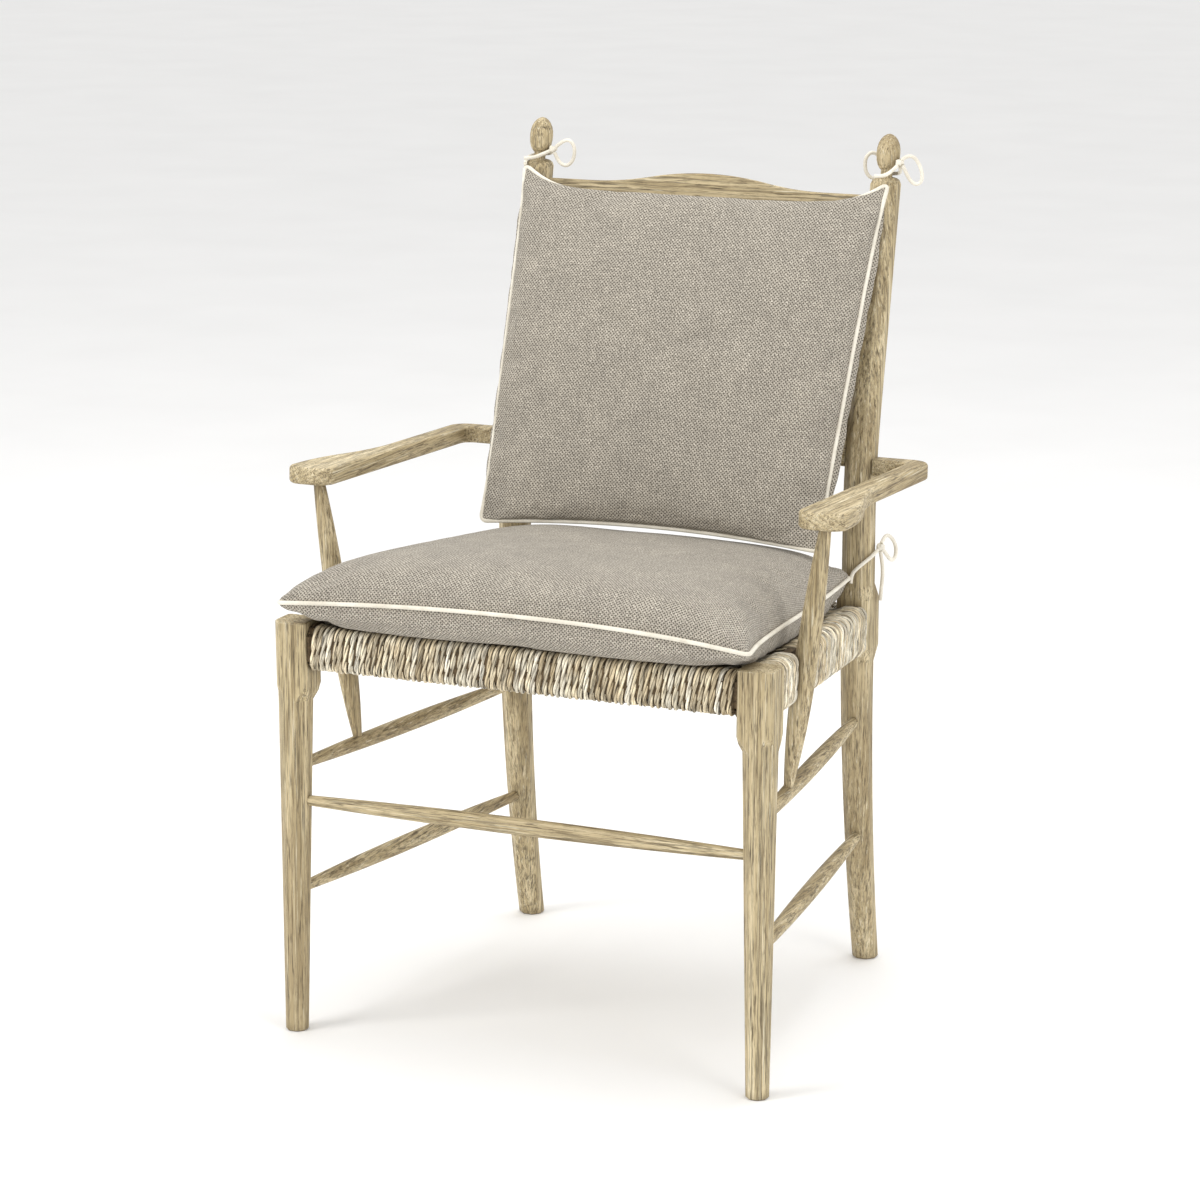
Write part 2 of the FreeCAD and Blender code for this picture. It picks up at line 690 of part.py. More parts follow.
def make_side_rail(name, side):
    body = new_body(f"side_seat_rail_{name}")
    ends = [
        side_section(body, f"End{at}", side, y, "rail_thickness", "side_rail_depth", "rail_cut")
        for at, y in enumerate(("leg_block_rear + shoulder_gap", "post_block_front - shoulder_gap"))
    ]
    loft(body, "Rail", ends)
    reach = ("leg_block_rear - rail_tenon_length", "post_block_front + rail_tenon_length")
    wide, tall, step = "rail_tenon_thickness", "rail_tenon_depth", "rail_tenon_step"
    tenons = [
        side_section(body, f"Tenon{at}", side, y, wide, tall, None, step)
        for at, y in enumerate(reach)
    ]
    loft(body, "Tenons", tenons)
    foot, top = support_ends(side)
    radius = "support_middle + shoulder_gap"
    cut_cylinder(body, "SupportSeat", foot, top, radius, "arm_level - upper_stretcher_level")
    start, axis = screw_line(side)
    begin = start - axis * SCREW_LEAD
    cut_cylinder(body, "ScrewHole", begin, start + axis, "screw_radius + joint_gap", "screw_length")
    sink = body.newObject("PartDesign::SubtractiveCone", "Countersink")
    sink.AttachmentSupport = [(plane_of(body, "XY_Plane"), "")]
    sink.MapMode = "FlatFace"
    bind(
        sink,
        {
            "Radius1": "screw_head_radius + joint_gap",
            "Radius2": "screw_radius + joint_gap",
            "Height": SCREW_HEAD,
        },
    )
    sink.AttachmentOffset = FreeCAD.Placement(start, FreeCAD.Rotation(V(0, 0, 1), axis))
    return body


# ---------------------------------------------------------------- round bars


def local(body, point):
    """A point of the chair, before it is moved back, in a placed body's own frame."""
    return body.Placement.inverse().multVec(point - V(0, value("centre_back"), 0))


def make_stretcher(label, start, end, near, far):
    """A round stretcher between two leg centres, thickest at mid length.

    near and far are the formulas of the distance from each leg's centre to its face.
    """
    axis = end - start
    body = new_body(label, start, FreeCAD.Rotation(V(0, 0, 1), axis))
    long = f"{axis.Length:.6f}"
    outline = [
        ("0", "stretcher_short"),
        ("stretcher_end", "stretcher_short"),
        ("stretcher_end", near, "stretcher_middle", f"{long} / 2"),
        ("stretcher_end", f"{long} - {far}"),
        ("stretcher_end", f"{long} - stretcher_short"),
        ("0", f"{long} - stretcher_short"),
    ]
    revolve(body, "Bar", sketch(body, "Outline", "XZ_Plane", outline))
    return body


def support_ends(side):
    """Where a support's axis meets the side stretcher's axis and the arm's underside."""
    front, back = side_ends("upper_stretcher_level")
    start, end = leg_centre(side, front), post_centre(side, back)
    share = (value("support_foot_back") - start.y) / (end.y - start.y)
    foot = start + (end - start) * share
    top_y = value("support_top_back")
    slope = math.tan(math.radians(value("arm_tilt")))
    under = value("arm_thickness") / math.cos(math.radians(value("arm_tilt")))
    level = value("arm_rear_level") + (value("arm_rear_back") - top_y) * slope - under
    return foot, V(side * value("support_top_out"), top_y, level)


# A screw's hole starts this far before its head, whose depth is a share of its radius.
SCREW_LEAD = 5
SCREW_HEAD = "screw_head_radius * 0.7"
# Steps that settle where a screw's axis leaves the slanting rail.
SCREW_STEPS = 4


def screw_line(side):
    """Where a screw enters the inner face of a side seat rail, and its direction."""
    foot, top = support_ends(side)
    level = value(side_line("support_foot_back")[1])
    hit = foot + (top - foot) * ((level - foot.z) / (top.z - foot.z))
    run = value("post_out - leg_block_out")
    axis = V(side * value("rail_line_length"), -run, 0).normalize()
    step = 0.0
    for _ in range(SCREW_STEPS):
        out = value(side_line(f"{hit.y - step:.6f}")[0]) - value("rail_thickness") / 2
        step = (abs(hit.x) - out) * axis.y / abs(axis.x)
    return V(side * out, hit.y - step, level), axis


def widening(radius, drop, run):
    """Radius half-way along an arc that swells from radius - drop to radius over a run."""
    bow = f"((pow({run}; 2) + pow({drop}; 2)) / (2 * ({drop})))"
    return f"{radius} - ({bow} - sqrt(pow({bow}; 2) - pow({run}; 2) / 4))"


def make_support(name, side):
    foot, top = support_ends(side)
    axis = top - foot
    body = new_body(f"arm_support_{name}", foot, FreeCAD.Rotation(V(0, 0, 1), axis))
    start, direction = screw_line(side)
    middle = f"{(start.z - foot.z) * axis.Length / axis.z:.6f}"
    end = f"{axis.Length:.6f}"
    lift = "stretcher_middle"
    low_drop, low_run = "(support_middle - support_foot_radius)", f"({middle} - {lift})"
    high_drop, high_run = "(support_middle - support_top_radius)", f"({end} - {middle})"
    outline = [
        ("0", "-support_foot_socket"),
        ("support_foot_radius", "-support_foot_socket"),
        (
            "support_foot_radius",
            lift,
            widening("support_middle", low_drop, low_run),
            f"{middle} - {low_run} / 2",
        ),
        (
            "support_middle",
            middle,
            widening("support_middle", high_drop, high_run),
            f"{middle} + {high_run} / 2",
        ),
        ("support_top_radius", end),
        ("support_top_radius", f"{end} + support_top_socket"),
        ("0", f"{end} + support_top_socket"),
    ]
    revolve(body, "Spindle", sketch(body, "Outline", "XZ_Plane", outline))
    begin = local(body, start - direction * SCREW_LEAD)
    towards = local(body, start)
    reach = f"screw_length + {SCREW_LEAD} + joint_gap"
    cut_cylinder(body, "ScrewHole", begin, towards, "screw_radius + joint_gap", reach)
    return body


def make_screws():
    """One countersunk wood screw for each arm support, through the side seat rail."""
    screws = []
    shank, head = value("screw_radius"), value("screw_head_radius")
    sunk, long = value(SCREW_HEAD), value("screw_length")
    for _, side in SIDES:
        start, axis = screw_line(side)
        point = 2 * shank
        solid = Part.makeCone(head, shank, sunk, start, axis)
        solid = solid.fuse(Part.makeCylinder(shank, long - sunk - point, start + axis * sunk, axis))
        tip = Part.makeCone(shank, shank / 4, point, start + axis * (long - point), axis)
        screws.append(solid.fuse(tip).removeSplitter())
    add_feature("arm_support_screws", Part.makeCompound(screws))


def add_feature(label, shape, place=None):
    made = doc.addObject("Part::Feature", label)
    made.Label = label
    made.Shape = shape
    made.Placement = place or FreeCAD.Placement(
        V(0, -value("centre_back"), 0), FreeCAD.Rotation()
    )
    pieces.append(made)
    return made


# ---------------------------------------------------------------- slats


SLAT_LEVELS = (
    ("crest_rail", "crest_level"),
    ("middle_slat", "middle_slat_level"),
    ("lower_slat", "lower_slat_level"),
)


def slat_depth(name):
    return "crest_depth" if name == "crest_rail" else "slat_depth"


def slat_reach(level):
    """Centre plane to the post's inner face at a slat's height."""
    return f"(post_out - {post_across(level)} / 2)"


def slat_place(level):
    """A slat's own frame: at its height in the line of the posts, and leaning with them."""
    slope = f"back_slope * min(1; max(0; ({level} - bend_height) / bend_length))"
    lean = value(f"atan({slope}) / 1deg")
    base = V(0, value(post_back(level)), value(level))
    return FreeCAD.Placement(base, FreeCAD.Rotation(V(1, 0, 0), -lean))


def make_slat(name, level):
    place = slat_place(level)
    body = new_body(name, place.Base, place.Rotation)
    end = f"({slat_reach(level)} - shoulder_gap)"
    half = f"({slat_depth(name)} / 2)"
    bow = "((pow(hump_half / 2; 2) + pow(slat_hump / 2; 2)) / slat_hump)"
    rise = f"({bow} - sqrt(pow({bow}; 2) - pow(hump_half / 4; 2)))"
    outline = [
        (f"-{end}", f"-{half}"),
        (end, f"-{half}"),
        (end, half),
        ("hump_half", half, "hump_half * 3 / 4", f"{half} + {rise}"),
        ("hump_half / 2", f"{half} + slat_hump / 2", "0", f"{half} + slat_hump"),
        ("-hump_half / 2", f"{half} + slat_hump / 2", "-hump_half * 3 / 4", f"{half} + {rise}"),
        ("-hump_half", half),
        (f"-{end}", half),
    ]
    profile = sketch(body, "Outline", "XZ_Plane", outline)
    blank = pad_across(body, "Blank", profile, "slat_thickness")
    doc.recompute()
    shortest = value(slat_depth(name)) + 1
    round_edges(
        body, blank, "slat_edge", lambda e: e.BoundBox.YLength < FLAT and e.Length > shortest
    )
    lengths = (
        f"2 * ({slat_reach(level)} + slat_tenon_length)",
        "slat_tenon_thickness",
        f"{slat_depth(name)} - 2 * slat_tenon_cut",
    )
    add_box(body, "Tenons", [f"-({length}) / 2" for length in lengths], lengths)
    return body


# An edge whose box is thinner than this lies in a plane across that direction.
FLAT = 0.1


def is_level(edge):
    return edge.BoundBox.ZLength < FLAT


def round_edges(body, base, radius, wanted):
    names = [f"Edge{n}" for n, e in enumerate(base.Shape.Edges, start=1) if wanted(e)]
    made = body.newObject("PartDesign::Fillet", "Rounding")
    made.Base = (base, names)
    bind(made, {"Radius": radius})
    return made


def add_box(body, name, low, lengths):
    made = body.newObject("PartDesign::AdditiveBox", name)
    made.AttachmentSupport = [(plane_of(body, "XY_Plane"), "")]
    made.MapMode = "FlatFace"
    bind(made, {f"AttachmentOffset.Base.{axis}": low[at] for at, axis in enumerate("xyz")})
    bind(made, dict(zip(("Length", "Width", "Height"), lengths)))
    return made


# ---------------------------------------------------------------- arms


def arm_place():
    """An arm's own frame: its top plane, at the post's centre, falling to the back."""
    base = V(0, value("arm_rear_back"), value("arm_rear_level"))
    return FreeCAD.Placement(base, FreeCAD.Rotation(V(1, 0, 0), -value("arm_tilt")))


def arm_shoulder():
    """Centre plane to a back post's outer face at the arm."""
    return f"(post_out + {post_across('arm_rear_level - arm_thickness / 2')} / 2)"


def make_arm(name, side):
    place = arm_place()
    body = new_body(f"arm_{name}", place.Base, place.Rotation)
    end = f"({arm_shoulder()} + shoulder_gap)"
    half, inner, outer = "arm_width / 2", "arm_inside", "(arm_inside + arm_width)"
    tip_out = "(arm_inside + arm_tip_width)"
    tip, waist = "(arm_tip - arm_rear_back)", "(arm_waist - arm_rear_back)"
    round_in, round_out, round_tip = "arm_elbow_inner", "arm_elbow_outer", "arm_tip_round"
    corner = ARC_SHORT
    flare = f"({tip_out} - {outer})"
    run = f"({waist} - {tip} - {round_tip})"
    bow = f"((pow({flare} / 2; 2) + pow({run} / 2; 2)) / {flare})"
    rise = f"({bow} - sqrt(pow({bow}; 2) - pow({run} / 4; 2)))"
    outline = [
        (end, f"-{half}"),
        (
            f"{inner} - {round_in}",
            f"-{half}",
            f"{inner} - {round_in} * {corner}",
            f"-{half} - {round_in} * {corner}",
        ),
        (inner, f"-{half} - {round_in}"),
        (
            inner,
            f"{tip} + {round_tip}",
            f"{inner} + {round_tip} * {corner}",
            f"{tip} + {round_tip} * {corner}",
        ),
        (f"{inner} + {round_tip}", tip),
        (
            f"{tip_out} - {round_tip}",
            tip,
            f"{tip_out} - {round_tip} * {corner}",
            f"{tip} + {round_tip} * {corner}",
        ),
        (
            tip_out,
            f"{tip} + {round_tip}",
            f"{tip_out} - {rise}",
            f"{tip} + {round_tip} + {run} / 4",
        ),
        (
            f"{outer} + {flare} / 2",
            f"{waist} - {run} / 2",
            f"{outer} + {rise}",
            f"{waist} - {run} / 4",
        ),
        (outer, waist),
        (
            outer,
            f"{half} - {round_out}",
            f"{outer} - {round_out} * {corner}",
            f"{half} - {round_out} * {corner}",
        ),
        (f"{outer} - {round_out}", half),
        (end, half),
    ]
    mirrored = [
        tuple(f"{side} * ({entry})" if at % 2 == 0 else entry for at, entry in enumerate(row))
        for row in outline
    ]
    profile = sketch(body, "Outline", "XY_Plane", mirrored, "-arm_thickness")
    blank = body.newObject("PartDesign::Pad", "Blank")
    blank.Profile = profile
    bind(blank, {"Length": "arm_thickness"})
    doc.recompute()
    shoulder = value(end) + value("arm_edge") / 8
    round_edges(
        body,
        blank,
        "arm_edge",
        lambda e: is_level(e) and max(abs(v.X) for v in e.Vertexes) > shoulder,
    )
    length = "(arm_tenon_length + tenon_root)"
    low_x = f"{end} - shoulder_gap - arm_tenon_length"
    low = (
        low_x if side > 0 else f"-({low_x} + {length})",
        "-arm_tenon_width / 2",
        "-(arm_thickness + arm_tenon_depth) / 2",
    )
    add_box(body, "Tenon", low, (length, "arm_tenon_width", "arm_tenon_depth"))
    foot, top = support_ends(side)
    along = (top - foot).normalize()
    bottom = top + along * value("support_top_socket + joint_gap")
    radius = "support_top_radius + joint_gap"
    cut_cylinder(
        body, "SupportSocket", local(body, bottom), local(body, foot), radius, "2 * arm_thickness"
    )
    return body


# ---------------------------------------------------------------- rush seat


def make_rush():
    """The woven rush as one closed solid: a roll around each rail and the panel between."""
    body = new_body("rush_seat")
    gap = "soft_gap"
    front, back = "leg_block_back", "seat_depth"
    around, over = "rail_thickness + 2 * rush_wrap", "+ 2 * rush_wrap"
    panel = []
    for at, y in enumerate((front, back)):
        out, level = side_line(y)
        points = rectangle("0", level, f"2 * ({out})", "rush_panel")
        panel.append(sketch(body, f"Panel{at}", "XZ_Plane", points, f"-({y})"))
    loft(body, "Panel", panel)
    ends = (
        ("Front", front, "front_rail_level", "leg_block_inner"),
        ("Back", back, "rear_rail_level", "post_block_inner"),
    )
    for label, y, level, inner in ends:
        points = cut_rectangle(y, level, around, f"end_rail_depth {over}", "rush_round")
        profile = sketch(body, f"{label}Section", "YZ_Plane", points)
        pad_across(body, f"{label}Roll", profile, f"2 * ({inner} - {gap})")
    reach = (f"leg_block_rear + {gap}", f"post_block_front - {gap}")
    for name, side in SIDES:
        tall = f"side_rail_depth {over}"
        roll = [
            side_section(body, f"Roll_{name}{at}", side, y, around, tall, "rush_round")
            for at, y in enumerate(reach)
        ]
        loft(body, f"Roll_{name}", roll)
    for label, y, level, inner in ends:
        wide, tall = f"rail_thickness + 2 * {gap}", f"end_rail_depth + 2 * {gap}"
        points = cut_rectangle(y, level, wide, tall, "rail_cut")
        profile = sketch(body, f"{label}Core", "YZ_Plane", points)
        made = body.newObject("PartDesign::Pocket", f"{label}Hollow")
        made.Profile = profile
        made.SideType = "Symmetric"
        bind(made, {"Length": f"2 * {inner} + 2 * block_width"})
    reach = ("leg_block_back", "seat_depth")
    for name, side in SIDES:
        wide, tall = f"rail_thickness + 2 * {gap}", f"side_rail_depth + 2 * {gap}"
        core = [
            side_section(body, f"Core_{name}{at}", side, y, wide, tall, "rail_cut")
            for at, y in enumerate(reach)
        ]
        loft(body, f"Hollow_{name}", core, "Subtractive")
        for label, x, y in (
            ("Leg", "leg_block_out", "leg_block_back"),
            ("Post", "post_out", "seat_depth"),
        ):
            size = f"(block_width + 2 * {gap})"
            low = (f"{side} * {x} - {size} / 2", f"{y} - {size} / 2", "post_block_low")
            cut_box(body, f"{label}Notch_{name}", low, (size, size, "leg_height - post_block_low"))
        foot, top = support_ends(side)
        radius = f"support_middle + {gap}"
        tall = "arm_level - upper_stretcher_level"
        cut_cylinder(body, f"SupportGap_{name}", foot, top, radius, tall)
    return body


# ---------------------------------------------------------------- cushions


def cushion_ring(low_half, high_half, length, inset, thinner):
    """A cushion's outline at one level: wider at one end, with rounded corners.

    It lies inset from the widest outline, and thinner further in for what is inside the cover.
    """
    corner = "(cushion_corner + 1.5 * fabric)"
    margin = f"({inset} + {thinner})"

    def half(y):
        return f"({low_half} + ({high_half} - ({low_half})) * ({y}) / ({length}) - {margin})"

    near, far = margin, f"({length} - {margin})"
    right = []
    for end, way in ((near, "+"), (far, "-")):
        ease = f"{ARC_SHORT} * {corner}"
        quarter = [
            (f"{half(end)} - {corner}", end),
            (f"{half(f'{end} {way} {ease}')} - {ease}", f"{end} {way} {ease}"),
            (half(f"{end} {way} {corner}"), f"{end} {way} {corner}"),
        ]
        right += quarter if way == "+" else quarter[::-1]
    return right + [(f"-({x})", y) for x, y in reversed(right)]


def cushion_solid(body, name, half_widths, length, levels, thinner, kind="Additive"):
    """A lofted cushion through levels of (height, inset), thinner all round by a thickness."""
    rings = []
    for at, (height, inset) in enumerate(levels):
        sign = "+" if height.startswith("-") else "-"
        points = cushion_ring(*half_widths, length, inset, thinner)
        rings.append(sketch(body, f"{name}{at}", "XY_Plane", points, f"{height} {sign} {thinner}"))
    loft(body, name, rings, kind)


# Where a cushion's crown starts to turn in: shares of its height and of its inset.
CROWN_RISE = 0.6
CROWN_INSET = 0.3


def cushion_levels(under, over, low_inset, high_inset):
    return [
        (f"-({under})", low_inset),
        ("-rim", "0"),
        ("rim", "0"),
        (f"{CROWN_RISE} * {over}", f"{CROWN_INSET} * {high_inset}"),
        (over, high_inset),
    ]


def make_cushion(name, place, half_widths, length, levels):
    """A cushion's cover, as a shell, and its filling."""
    cover = new_body(f"{name}_cover", place.Base, place.Rotation)
    cushion_solid(cover, "Outside", half_widths, length, levels, "0")
    cushion_solid(cover, "Inside", half_widths, length, levels, "fabric", "Subtractive")
    filling = new_body(f"{name}_filling", place.Base, place.Rotation)
    cushion_solid(filling, "Filling", half_widths, length, levels, "(fabric + soft_gap)")
    make_piping(f"{name}_piping", place, [value(half) for half in half_widths], value(length))


def seat_cushion_place():
    base = V(0, -value("cushion_overhang"), value("cushion_level"))
    return FreeCAD.Placement(base, FreeCAD.Rotation(V(1, 0, 0), -value("seat_tilt")))


def back_cushion_place():
    base = V(0, value("pillow_low_back"), value("pillow_low_level"))
    return FreeCAD.Placement(base, FreeCAD.Rotation(V(1, 0, 0), 90 - value("pillow_lean")))


def rounded_path(points, trims, closed=False):
    """Straight runs joined by tangent arcs, as one wire, and the radius of every arc.

    Each arc starts and ends at its trim's distance from its point.
    """
    count = len(points)
    inner = range(count) if closed else range(1, count - 1)
    starts, ends, radii = {}, {}, []
    edges = []
    for at in inner:
        point, before, after = points[at], points[at - 1], points[(at + 1) % count]
        back, ahead = (before - point).normalize(), (after - point).normalize()
        turn = math.pi - back.getAngle(ahead)
        trim = trims[at]
        radius = trim / math.tan(turn / 2)
        radii.append(radius)
        starts[at], ends[at] = point + back * trim, point + ahead * trim
        inward = (back + ahead).normalize()
        depth = radius / math.cos(turn / 2) - radius
        edges.append((at, Part.Arc(starts[at], point + inward * depth, ends[at]).toShape()))
    arcs = dict(edges)
    wire = []
    for at in range(count if closed else count - 1):
        after = (at + 1) % count
        begin, finish = ends.get(at, points[at]), starts.get(after, points[after])
        wire.append(Part.LineSegment(begin, finish).toShape())
        if after in arcs:
            wire.append(arcs[after])
    return Part.Wire(wire), radii


# A tube's volume may differ from its section times its length by this share.
VOLUME_ERROR = 0.01


def tube(wire, radius):
    """A round solid along a wire of straight runs and tangent arcs."""
    first = wire.OrderedEdges[0]
    start = first.valueAt(first.FirstParameter)
    way = first.tangentAt(first.FirstParameter)
    section = Part.Wire(Part.Circle(start, way, radius).toShape())
    solid = wire.makePipeShell([section], True, False)
    expected = math.pi * radius**2 * wire.Length
    if not solid.isValid() or abs(solid.Volume / expected - 1) > VOLUME_ERROR:
        raise ValueError(f"tube volume {solid.Volume:.1f}, expected {expected:.1f}")
    return solid


def make_piping(label, place, half_widths, length):
    """A cord of piping around a cushion's seam."""
    low_half, high_half = half_widths
    taper = (high_half - low_half) / length
    away = value("piping_radius + soft_gap")
    grow = away * math.hypot(1, taper)
    low = low_half - away * taper + grow
    high = high_half + away * taper + grow
    near, far = -away, length + away
    corners = [V(-low, near, 0), V(low, near, 0), V(high, far, 0), V(-high, far, 0)]
    trim = value("cushion_corner") + away
    wire, _ = rounded_path(corners, [trim] * len(corners), closed=True)
    back = FreeCAD.Placement(V(0, -value("centre_back"), 0), FreeCAD.Rotation())
    return add_feature(label, tube(wire, value("piping_radius")), back * place)


# ---------------------------------------------------------------- ties

# Each tie's knot, and the strands, loops and tails that leave it. Distances are from the
# knot: to the sitter's left, to the back and up.
TIES = {
    "top_right": {
        "knot": (-205, 545, 961),
        "cords": {
            "front_strand": [
                (-3.2, -3.0, -2.2),
                (-8.5, -9.5, -5),
                (-14.5, -16.5, -8),
                (-21, -21.4, -9.3),
                (-28, -22.3, -9.7),
            ],
            "back_strand": [
                (-2.4, 3.6, -2.4),
                (-7, 11, -6.5),
                (-15.5, 15.5, -8),
                (-25, 12.5, -8.6),
                (-31, 4.5, -9.6),
                (-32.5, -5, -12),
                (-30.8, -13, -14.6),
                (-28.3, -19.4, -17),
            ],
            "loop": [
                (3.9, 0.2, 2.9),
                (11, 1, 9),
                (20, 2, 12.5),
                (27, 2, 6),
                (28.5, 1, -4),
                (26, 0, -14),
                (18.5, -1, -20),
                (10.5, -1.5, -17),
                (5.6, -1.2, -10.4),
                (2.4, -0.8, -4.2),
            ],
        },
    },
    "top_left": {
        "knot": (242.5, 538, 966.6),
        "cords": {
            "front_strand": [
                (-1.9, -3.0, -3.3),
                (-6, -9, -8.7),
                (-11.2, -13.6, -12.9),
                (-18, -15, -14.7),
                (-25, -15, -15),
            ],
            "inner_loop": [
                (-0.3, 4.8, 0.7),
                (-1.5, 12.5, 1),
                (-5.4, 23, -0.2),
                (-14.2, 29.4, -1.2),
                (-25, 29.2, 0),
                (-34.5, 24.5, 4.6),
                (-42, 20, 9.2),
                (-48.2, 17.4, 2.8),
                (-49.3, 17, -7.4),
                (-46.8, 17, -17.2),
                (-40, 18.6, -22.8),
                (-31, 21.4, -20.2),
                (-22, 23.6, -16.8),
                (-12.5, 21.4, -15.4),
                (-4.6, 15, -14),
                (-1.4, 7.9, -8.8),
                (-0.2, 2.8, -4.0),
            ],
            "outer_loop": [
                (3.0, 0.5, 3.8),
                (9, 2, 9),
                (16.5, 5, 7),
                (21.5, 7, -0.5),
                (25, 7.5, -9.5),
                (26, 7, -18.5),
                (23, 6.5, -24),
                (17, 5.2, -25),
                (11.5, 3.6, -19.5),
                (7.3, 1.7, -11),
                (4.1, -0.4, -2.4),
            ],
        },
    },
    "seat_left": {
        "knot": (250, 472, 521),
        "cords": {
            "strand": [
                (-1.6, -4.0, -2.6),
                (-5, -13, -8.5),
                (-11.5, -20.5, -14.5),
                (-19.5, -24.5, -22),
                (-26.8, -25.8, -30.4),
                (-26.6, -27, -40.4),
            ],
            "loop": [
                (0.5, 2, 4.4),
                (1, 10, 10.5),
                (2, 20, 11),
                (2.5, 30.5, 6),
                (3, 40, -1),
                (3, 47, -10),
                (2.5, 47.5, -20),
                (1.5, 40, -24),
                (1, 30, -20),
                (0.5, 20.5, -13),
                (0.3, 11.5, -6.5),
                (0.4, 4.2, -2.6),
            ],
            "tail": [
                (0, 0.3, -4.9),
                (1, 1.5, -13.5),
                (1.6, 4, -23),
                (1.2, 6.2, -33.5),
                (0.2, 7, -44.5),
                (-0.8, 6.6, -55),
                (-1, 5.8, -65.5),
            ],
        },
    },
}
# An arc takes up this share of the shorter of the two runs that it joins.
ARC_SHARE = 0.45
# A cut takes at least, and a shared sliver is at most, this many cubic millimetres.
CUT = 1
SLIVER = 0.1
# A knot has a small flat at each pole, at this latitude, where no cord leaves it.
KNOT_AXIS = V(0.6, -0.7, 0.1)
KNOT_FLAT = 80


def make_tie(name, knot, cords):
    """The strands, loops and tail of one bow, and the knot they leave."""
    centre = V(*knot)
    tubes = []
    for label, offsets in cords.items():
        points = [centre + V(*offset) for offset in offsets]
        runs = [points[at].distanceToPoint(points[at + 1]) for at in range(len(points) - 1)]
        trims = [0] + [ARC_SHARE * min(pair) for pair in zip(runs, runs[1:])] + [0]
        wire, radii = rounded_path(points, trims)
        cord = tube(wire, value("tie_radius"))
        add_feature(f"tie_{name}_{label}", cord)
        tubes.append(cord)
        shown = ", ".join(f"{radius:.1f}" for radius in radii)
        print(f"tie_{name}_{label}: length {wire.Length:.1f}, radii {shown}")
    ball = Part.makeSphere(value("knot_radius"), centre, KNOT_AXIS, -KNOT_FLAT, KNOT_FLAT)
    ball = ball.cut(tubes)
    if any(ball.common(cord).Volume > SLIVER for cord in tubes):
        raise ValueError(f"the knot of tie_{name} overlaps its cords")
    add_feature(f"tie_{name}_knot", ball)


# ---------------------------------------------------------------- the whole chair

for name, side in SIDES:
    make_front_leg(name, side)
    make_back_post(name, side)
    make_side_rail(name, side)
    make_support(name, side)
    make_arm(name, side)
    for label, level in (
        ("upper", "upper_stretcher_level"),
        ("lower", "lower_stretcher_level"),
    ):
        front, back = side_ends(level)
        near, far = f"{leg_across(front)} / 2", f"{post_across(back)} / 2"
        ends = leg_centre(side, front), post_centre(side, back)
        bar = make_stretcher(f"{label}_side_stretcher_{name}", *ends, near, far)
        if label == "upper":
            foot, top = support_ends(side)
            bottom = foot - (top - foot).normalize() * value("support_foot_socket + joint_gap")
            reach = "support_foot_radius + joint_gap"
            cut_cylinder(
                bar, "SupportHole", local(bar, bottom), local(bar, top), reach, "block_width"
            )
make_end_rail("front_seat_rail", "leg_block_back", "front_rail_level", "leg_block_inner")
make_end_rail("back_seat_rail", "seat_depth", "rear_rail_level", "post_block_inner")
half = f"{leg_across('front_stretcher_level')} / 2"
ends = [leg_centre(side, "front_stretcher_level") for side in (-1, 1)]
make_stretcher("front_stretcher", *ends, half, half)
for name, level in SLAT_LEVELS:
    make_slat(name, level)
make_screws()
make_rush()
make_cushion(
    "seat_cushion",
    seat_cushion_place(),
    ("cushion_front_half", "cushion_rear_half"),
    "cushion_length",
    cushion_levels("cushion_under", "cushion_crown", "cushion_tuck", "cushion_round"),
)
make_cushion(
    "back_cushion",
    back_cushion_place(),
    ("pillow_low_half", "pillow_high_half"),
    "pillow_length",
    cushion_levels("pillow_rear", "pillow_front", "pillow_round", "pillow_round"),
)
for name, tie in TIES.items():
    make_tie(name, tie["knot"], tie["cords"])
doc.recompute()

# ---------------------------------------------------------------- checks and export

for thing in doc.Objects:
    if {"Invalid", "Error"} & set(thing.State):
        raise ValueError(f"{thing.Label} is {thing.State}")
    cuts = ("PartDesign::Subtractive", "PartDesign::Pocket")
    if thing.TypeId.startswith(cuts):
        removed = thing.BaseFeature.Shape.Volume - thing.Shape.Volume
        if removed < CUT:
            raise ValueError(f"{thing.Label} of {thing.getParent().Label} cuts nothing")
for piece in pieces:
    if piece.Shape.isNull() or not piece.Shape.isValid():
        raise ValueError(f"{piece.Label} has no valid shape")

os.makedirs("parts", exist_ok=True)
for piece in pieces:
    piece.Shape.exportStep(f"parts/{piece.Label}.step")
print(len(pieces), "pieces")
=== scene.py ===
import math

import bpy
import numpy as np
from mathutils import Matrix, Vector


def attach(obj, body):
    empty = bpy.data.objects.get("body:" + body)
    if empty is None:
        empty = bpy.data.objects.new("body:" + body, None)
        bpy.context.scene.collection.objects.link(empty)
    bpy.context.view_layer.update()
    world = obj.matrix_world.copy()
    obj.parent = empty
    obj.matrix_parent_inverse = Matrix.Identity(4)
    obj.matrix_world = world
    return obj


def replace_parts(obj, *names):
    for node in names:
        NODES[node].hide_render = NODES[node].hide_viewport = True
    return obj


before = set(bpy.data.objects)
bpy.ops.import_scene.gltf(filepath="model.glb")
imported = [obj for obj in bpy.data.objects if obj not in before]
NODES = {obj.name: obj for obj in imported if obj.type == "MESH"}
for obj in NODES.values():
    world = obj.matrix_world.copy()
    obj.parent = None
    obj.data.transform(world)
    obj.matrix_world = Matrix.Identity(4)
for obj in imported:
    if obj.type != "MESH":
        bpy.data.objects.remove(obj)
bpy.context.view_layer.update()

BODY = "root"
# The front feet's centres lie this far in front of the frame's origin.
FEET = 0.2638


def link(obj):
    bpy.context.scene.collection.objects.link(obj)
    return obj


# ---------------------------------------------------------------- camera and light

